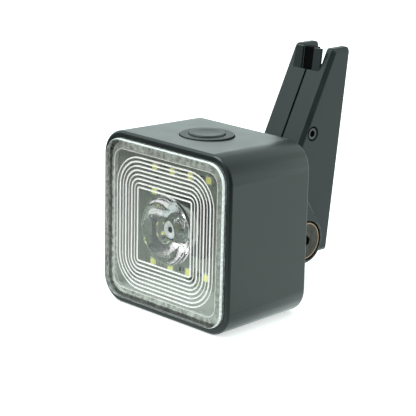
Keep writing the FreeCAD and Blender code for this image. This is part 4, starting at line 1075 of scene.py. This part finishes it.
class HEADLIGHT_OT_fittings(bpy.types.Operator):
    """Build the hinge screw, the pinch screw and the back plate screws"""

    bl_idname = "headlight.fittings"
    bl_label = "Screws"

    def execute(self, context):
        self.add_screws("hinge_bolt", "hinge_screw", ["Hinge Steel", "Shadow Black"],
                        "lamp", "hinge_steel", SIDEWAYS, self.tips("hinge_screw"))
        self.add_screws("pinch_bolt", "pinch_screw", ["Dull Steel", "Shadow Black"],
                        "arm", "steel_screw", SIDEWAYS, self.tips("pinch_screw"),
                        PINCH_SHADOW_BANDS)
        low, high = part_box("plate_screws")
        reach = (high.x - low.x) / 2 - 1.9 * MM
        corners = [
            Vector((side * reach, low.y, LAMP_MIDDLE_Z + side * reach)) for side in (-1, 1)
        ]
        self.add_screws("plate_bolts", "plate_screws", ["Blackened Steel"], "lamp",
                        "steel_screw", BACKWARDS, corners)
        return {"FINISHED"}

    def tips(self, node):
        """Where the one sideways screw of a node begins."""
        low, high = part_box(node)
        return [Vector((low.x, (low.y + high.y) / 2, (low.z + high.z) / 2))]

    def add_screws(self, name, node, finish_names, body, slot, axis, tips, dark_bands=0):
        """The like screws of a node. The last finish is that of the drive, and of the
        bands from the tip on that lie in shadow; where it is Shadow Black, it is painted shade."""
        form = SCREW_FORMS[node]
        low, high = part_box(node)
        length = (high - low).dot(axis) / MM
        outside = rounded_path([
            (0, BLUNT_POINT, 0), (0, *form["tip"]),
            *((length - depth, out, reach) for depth, out, reach in form["head"]),
        ])
        drive = rounded_path([
            (length - depth, out, reach) for depth, out, reach in form["drive"]
        ])
        dark = len(finish_names) - 1
        bands = len(outside) + len(drive) - 1
        finishes = [dark if band < dark_bands else 0 for band in range(bands)]
        finishes[-1] = dark
        shape = Shape()
        for tip in tips:
            loops = turned_loops(outside, tip, axis)
            loops += turned_loops(drive, tip, axis, form["outline"])
            shape.loft(loops, finishes, end_finish=dark)
        shape.make(name, finish_names, body, slot, [node])


CARRIED_FINISHES = {
    "housing": "Satin Graphite",
    "back_plate": "Back Plate Plastic",
    "plate_seal": "Gasket Silicone",
    "lens_gasket": "Gasket Silicone",
    "light_frame": "Reflector Plastic",
    "led_board": "Light Board Mask",
    "optic_holder": "Optic Holder Plastic",
    "battery_cell": "Cell Foil",
    "battery_pad": "Grey Foam",
    "main_board": "Circuit Board",
    "board_parts": "Board Components",
    "usb_socket": "Socket Steel",
    "button_board": "Circuit Board",
    "tactile_switch": "Board Components",
    "hinge_nut": "Blackened Steel",
    "port_cover": "Flap Rubber",
    "arm_left": "Arm Plastic",
    "arm_right": "Arm Plastic",
    "jaw_liner": "Liner Rubber",
    "pinch_insert": "Brass",
    "hinge_sleeve": "Dull Steel",
}

SOFTENED = ("housing", "back_plate", "arm_left", "arm_right", "port_cover", "hinge_nut",
            "jaw_liner")


class HEADLIGHT_OT_finishes(bpy.types.Operator):
    """Give the carried-over CAD solids their finishes and softened edges"""

    bl_idname = "headlight.finishes"
    bl_label = "Finishes of the carried-over solids"

    def execute(self, context):
        for name, finish in CARRIED_FINISHES.items():
            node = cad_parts[name]
            node.data.materials.clear()
            node.data.materials.append(material_of(finish))
        for name in SOFTENED:
            soften_edges(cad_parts[name], context.scene.headlight_sizes.edge_softness)
        return {"FINISHED"}


# The stage. Mirrors see the floor and the room go from one strength to another between
# these places along Y, heights, and nearnesses to the camera's side.
FLOOR_FADE = (-0.10, 0.02)
ROOM_FADE = (-0.7, 0.3)
CAMERA_SIDE_FADE = (0.70, 0.93)
CAMERA_SIDE_RISE = 0.45
BEHIND_FADE = (-0.2, 0.4)
HIGH_FADE = (0.3, 0.7)
HIGH_SHADE = 0.75
LAMP_AIM = Vector((0, 0, 0.02))


class HEADLIGHT_OT_stage(bpy.types.Operator):
    """Set up the floor, the backdrop light, the lamps and the camera"""

    bl_idname = "headlight.stage"
    bl_label = "Stage"

    def execute(self, context):
        settings = context.scene.headlight_stage
        self.add_floor(settings)
        self.set_world(context, settings)
        self.add_lamp("overhead_lamp", (0.0, 0.35, 0.75), 0.9, settings.overhead_power)
        self.add_lamp("key_lamp", (-0.35, -0.5, 0.8), 0.5, settings.key_power)
        self.add_camera(context, settings)
        context.scene.view_settings.view_transform = "Standard"
        return {"FINISHED"}

    def add_floor(self, settings):
        """A pale floor that stays white where it is looked at and keeps the shadow.
        Mirrors see it light behind the lamp and dark in front."""
        reach = settings.floor_reach
        mesh = bpy.data.meshes.new("floor")
        mesh.from_pydata([
            (-reach, -reach, 0), (reach, -reach, 0), (reach, reach, 0), (-reach, reach, 0),
        ], [], [(0, 1, 2, 3)])
        material, tree, surface = new_material("Pale Floor")
        set_sockets(tree, surface, {
            "Base Color": (0.86, 0.86, 0.86, 1.0), "Roughness": 0.7,
            "Specular IOR Level": 0.0,
        })
        glow = add_node(tree, "ShaderNodeEmission", {"Strength": 0.55})
        both = add_node(tree, "ShaderNodeAddShader", {
            0: surface.outputs[0], 1: glow.outputs[0],
        })
        place = tree.nodes.new("ShaderNodeNewGeometry").outputs["Position"]
        depth = add_node(tree, "ShaderNodeSeparateXYZ", {"Vector": place}).outputs["Y"]
        mirrored = add_node(tree, "ShaderNodeEmission", {
            "Color": (*settings.light_tint, 1.0),
            "Strength": remap(
                tree, depth, *FLOOR_FADE, settings.front_floor, settings.rear_floor
            ),
        })
        rays = tree.nodes.new("ShaderNodeLightPath").outputs
        seen = mix_shaders(tree, looked_at(tree, rays), surface.outputs[0], both.outputs[0])
        final = mix_shaders(tree, rays["Is Glossy Ray"], seen, mirrored.outputs[0])
        tree.links.new(final, tree.nodes["Material Output"].inputs["Surface"])
        mesh.materials.append(material)
        floor = bpy.data.objects.new("floor", mesh)
        bpy.context.scene.collection.objects.link(floor)

    def set_world(self, context, settings):
        """White where it is looked at, and an even fill light. Mirrors see a room that is
        light behind, less light in front and high up, and dark on the camera's side."""
        world = context.scene.world or bpy.data.worlds.new("World")
        context.scene.world = world
        world.use_nodes = True
        tree = world.node_tree
        tree.nodes.clear()
        camera_side = Vector((
            math.sin(settings.azimuth), -math.cos(settings.azimuth), CAMERA_SIDE_RISE
        )).normalized()
        direction = tree.nodes.new("ShaderNodeTexCoord").outputs["Generated"]
        nearness = vector_node(tree, "DOT_PRODUCT", "Value", direction, tuple(camera_side))
        axes = add_node(tree, "ShaderNodeSeparateXYZ", {"Vector": direction}).outputs
        strength = math_node(
            tree, "MULTIPLY",
            remap(tree, nearness, *CAMERA_SIDE_FADE, 1.0, settings.dark_room),
            remap(tree, axes["Y"], *ROOM_FADE, settings.front_room, settings.back_room),
        )
        behind = remap(tree, axes["Y"], *BEHIND_FADE)
        high = remap(tree, axes["Z"], *HIGH_FADE, 0.0, HIGH_SHADE)
        shade = math_node(tree, "SUBTRACT", 1.0, math_node(tree, "MULTIPLY", behind, high))
        mirrored = self.add_background(
            tree, settings.light_tint, math_node(tree, "MULTIPLY", strength, shade)
        )
        fill = self.add_background(tree, settings.light_tint, settings.fill_light)
        white = self.add_background(tree, WHITE, 1.0)
        rays = tree.nodes.new("ShaderNodeLightPath").outputs
        lit = mix_shaders(tree, rays["Is Glossy Ray"], fill, mirrored)
        final = mix_shaders(tree, looked_at(tree, rays), lit, white)
        add_node(tree, "ShaderNodeOutputWorld", {"Surface": final})

    def add_background(self, tree, colour, strength):
        """Light of one colour from all sides."""
        node = add_node(tree, "ShaderNodeBackground", {
            "Color": (*colour, 1.0), "Strength": strength,
        })
        return node.outputs[0]

    def add_lamp(self, name, place, width, power):
        """A square soft lamp that faces the headlight."""
        light = bpy.data.lights.new(name, "AREA")
        light.size = width
        light.energy = power
        light.color = bpy.context.scene.headlight_stage.light_tint
        lamp = bpy.data.objects.new(name, light)
        lamp.location = place
        direction = LAMP_AIM - Vector(place)
        lamp.rotation_euler = direction.to_track_quat("-Z", "Y").to_euler()
        bpy.context.scene.collection.objects.link(lamp)

    def add_camera(self, context, settings):
        """The camera at the photograph's angle."""
        data = bpy.data.cameras.new("camera")
        data.lens = settings.focal_length
        data.sensor_width = 36.0
        data.clip_start = 0.01
        camera = bpy.data.objects.new("camera", data)
        context.scene.collection.objects.link(camera)
        azimuth, elevation, turn = settings.azimuth, settings.elevation, settings.roll
        back = Vector((
            math.sin(azimuth) * math.cos(elevation),
            -math.cos(azimuth) * math.cos(elevation),
            math.sin(elevation),
        ))
        right = (-back).cross(UPWARDS).normalized()
        up = right.cross(-back)
        rotation = Matrix((
            right * math.cos(turn) + up * math.sin(turn),
            up * math.cos(turn) - right * math.sin(turn),
            back,
        )).transposed()
        place = Vector(settings.aim) + back * settings.distance
        camera.matrix_world = Matrix.Translation(place) @ rotation.to_4x4()
        context.scene.camera = camera


PIECE_OPERATORS = (
    HEADLIGHT_OT_lens,
    HEADLIGHT_OT_optic,
    HEADLIGHT_OT_lights,
    HEADLIGHT_OT_board_details,
    HEADLIGHT_OT_button,
    HEADLIGHT_OT_fittings,
    HEADLIGHT_OT_finishes,
    HEADLIGHT_OT_stage,
)


class HEADLIGHT_PT_panel(bpy.types.Panel):
    """Sizes, colours and building steps of the headlight"""

    bl_label = "Headlight"
    bl_idname = "HEADLIGHT_PT_panel"
    bl_space_type = "VIEW_3D"
    bl_region_type = "UI"
    bl_category = "Headlight"

    def draw(self, context):
        layout = self.layout
        for title, settings in (
            ("Sizes", context.scene.headlight_sizes),
            ("Colours", context.scene.headlight_colours),
            ("Stage", context.scene.headlight_stage),
        ):
            column = layout.column(align=True)
            column.label(text=title)
            for name in settings.__annotations__:
                column.prop(settings, name)
        column = layout.column(align=True)
        column.label(text="Build")
        for operator in PIECE_OPERATORS:
            column.operator(operator.bl_idname)


CLASSES = (HeadlightSizes, HeadlightColours, HeadlightStage, *PIECE_OPERATORS,
           HEADLIGHT_PT_panel)


def register():
    """Adds the classes, and the settings to the scene."""
    for item in CLASSES:
        bpy.utils.register_class(item)
    bpy.types.Scene.headlight_sizes = PointerProperty(type=HeadlightSizes)
    bpy.types.Scene.headlight_colours = PointerProperty(type=HeadlightColours)
    bpy.types.Scene.headlight_stage = PointerProperty(type=HeadlightStage)


def unregister():
    """Takes the settings and the classes away."""
    del bpy.types.Scene.headlight_stage
    del bpy.types.Scene.headlight_colours
    del bpy.types.Scene.headlight_sizes
    for item in reversed(CLASSES):
        bpy.utils.unregister_class(item)


def main():
    """Builds every piece."""
    register()
    bpy.ops.headlight.lens()
    bpy.ops.headlight.optic()
    bpy.ops.headlight.lights()
    bpy.ops.headlight.board_details()
    bpy.ops.headlight.button()
    bpy.ops.headlight.fittings()
    bpy.ops.headlight.finishes()
    bpy.ops.headlight.stage()


if __name__ == "__main__":
    main()
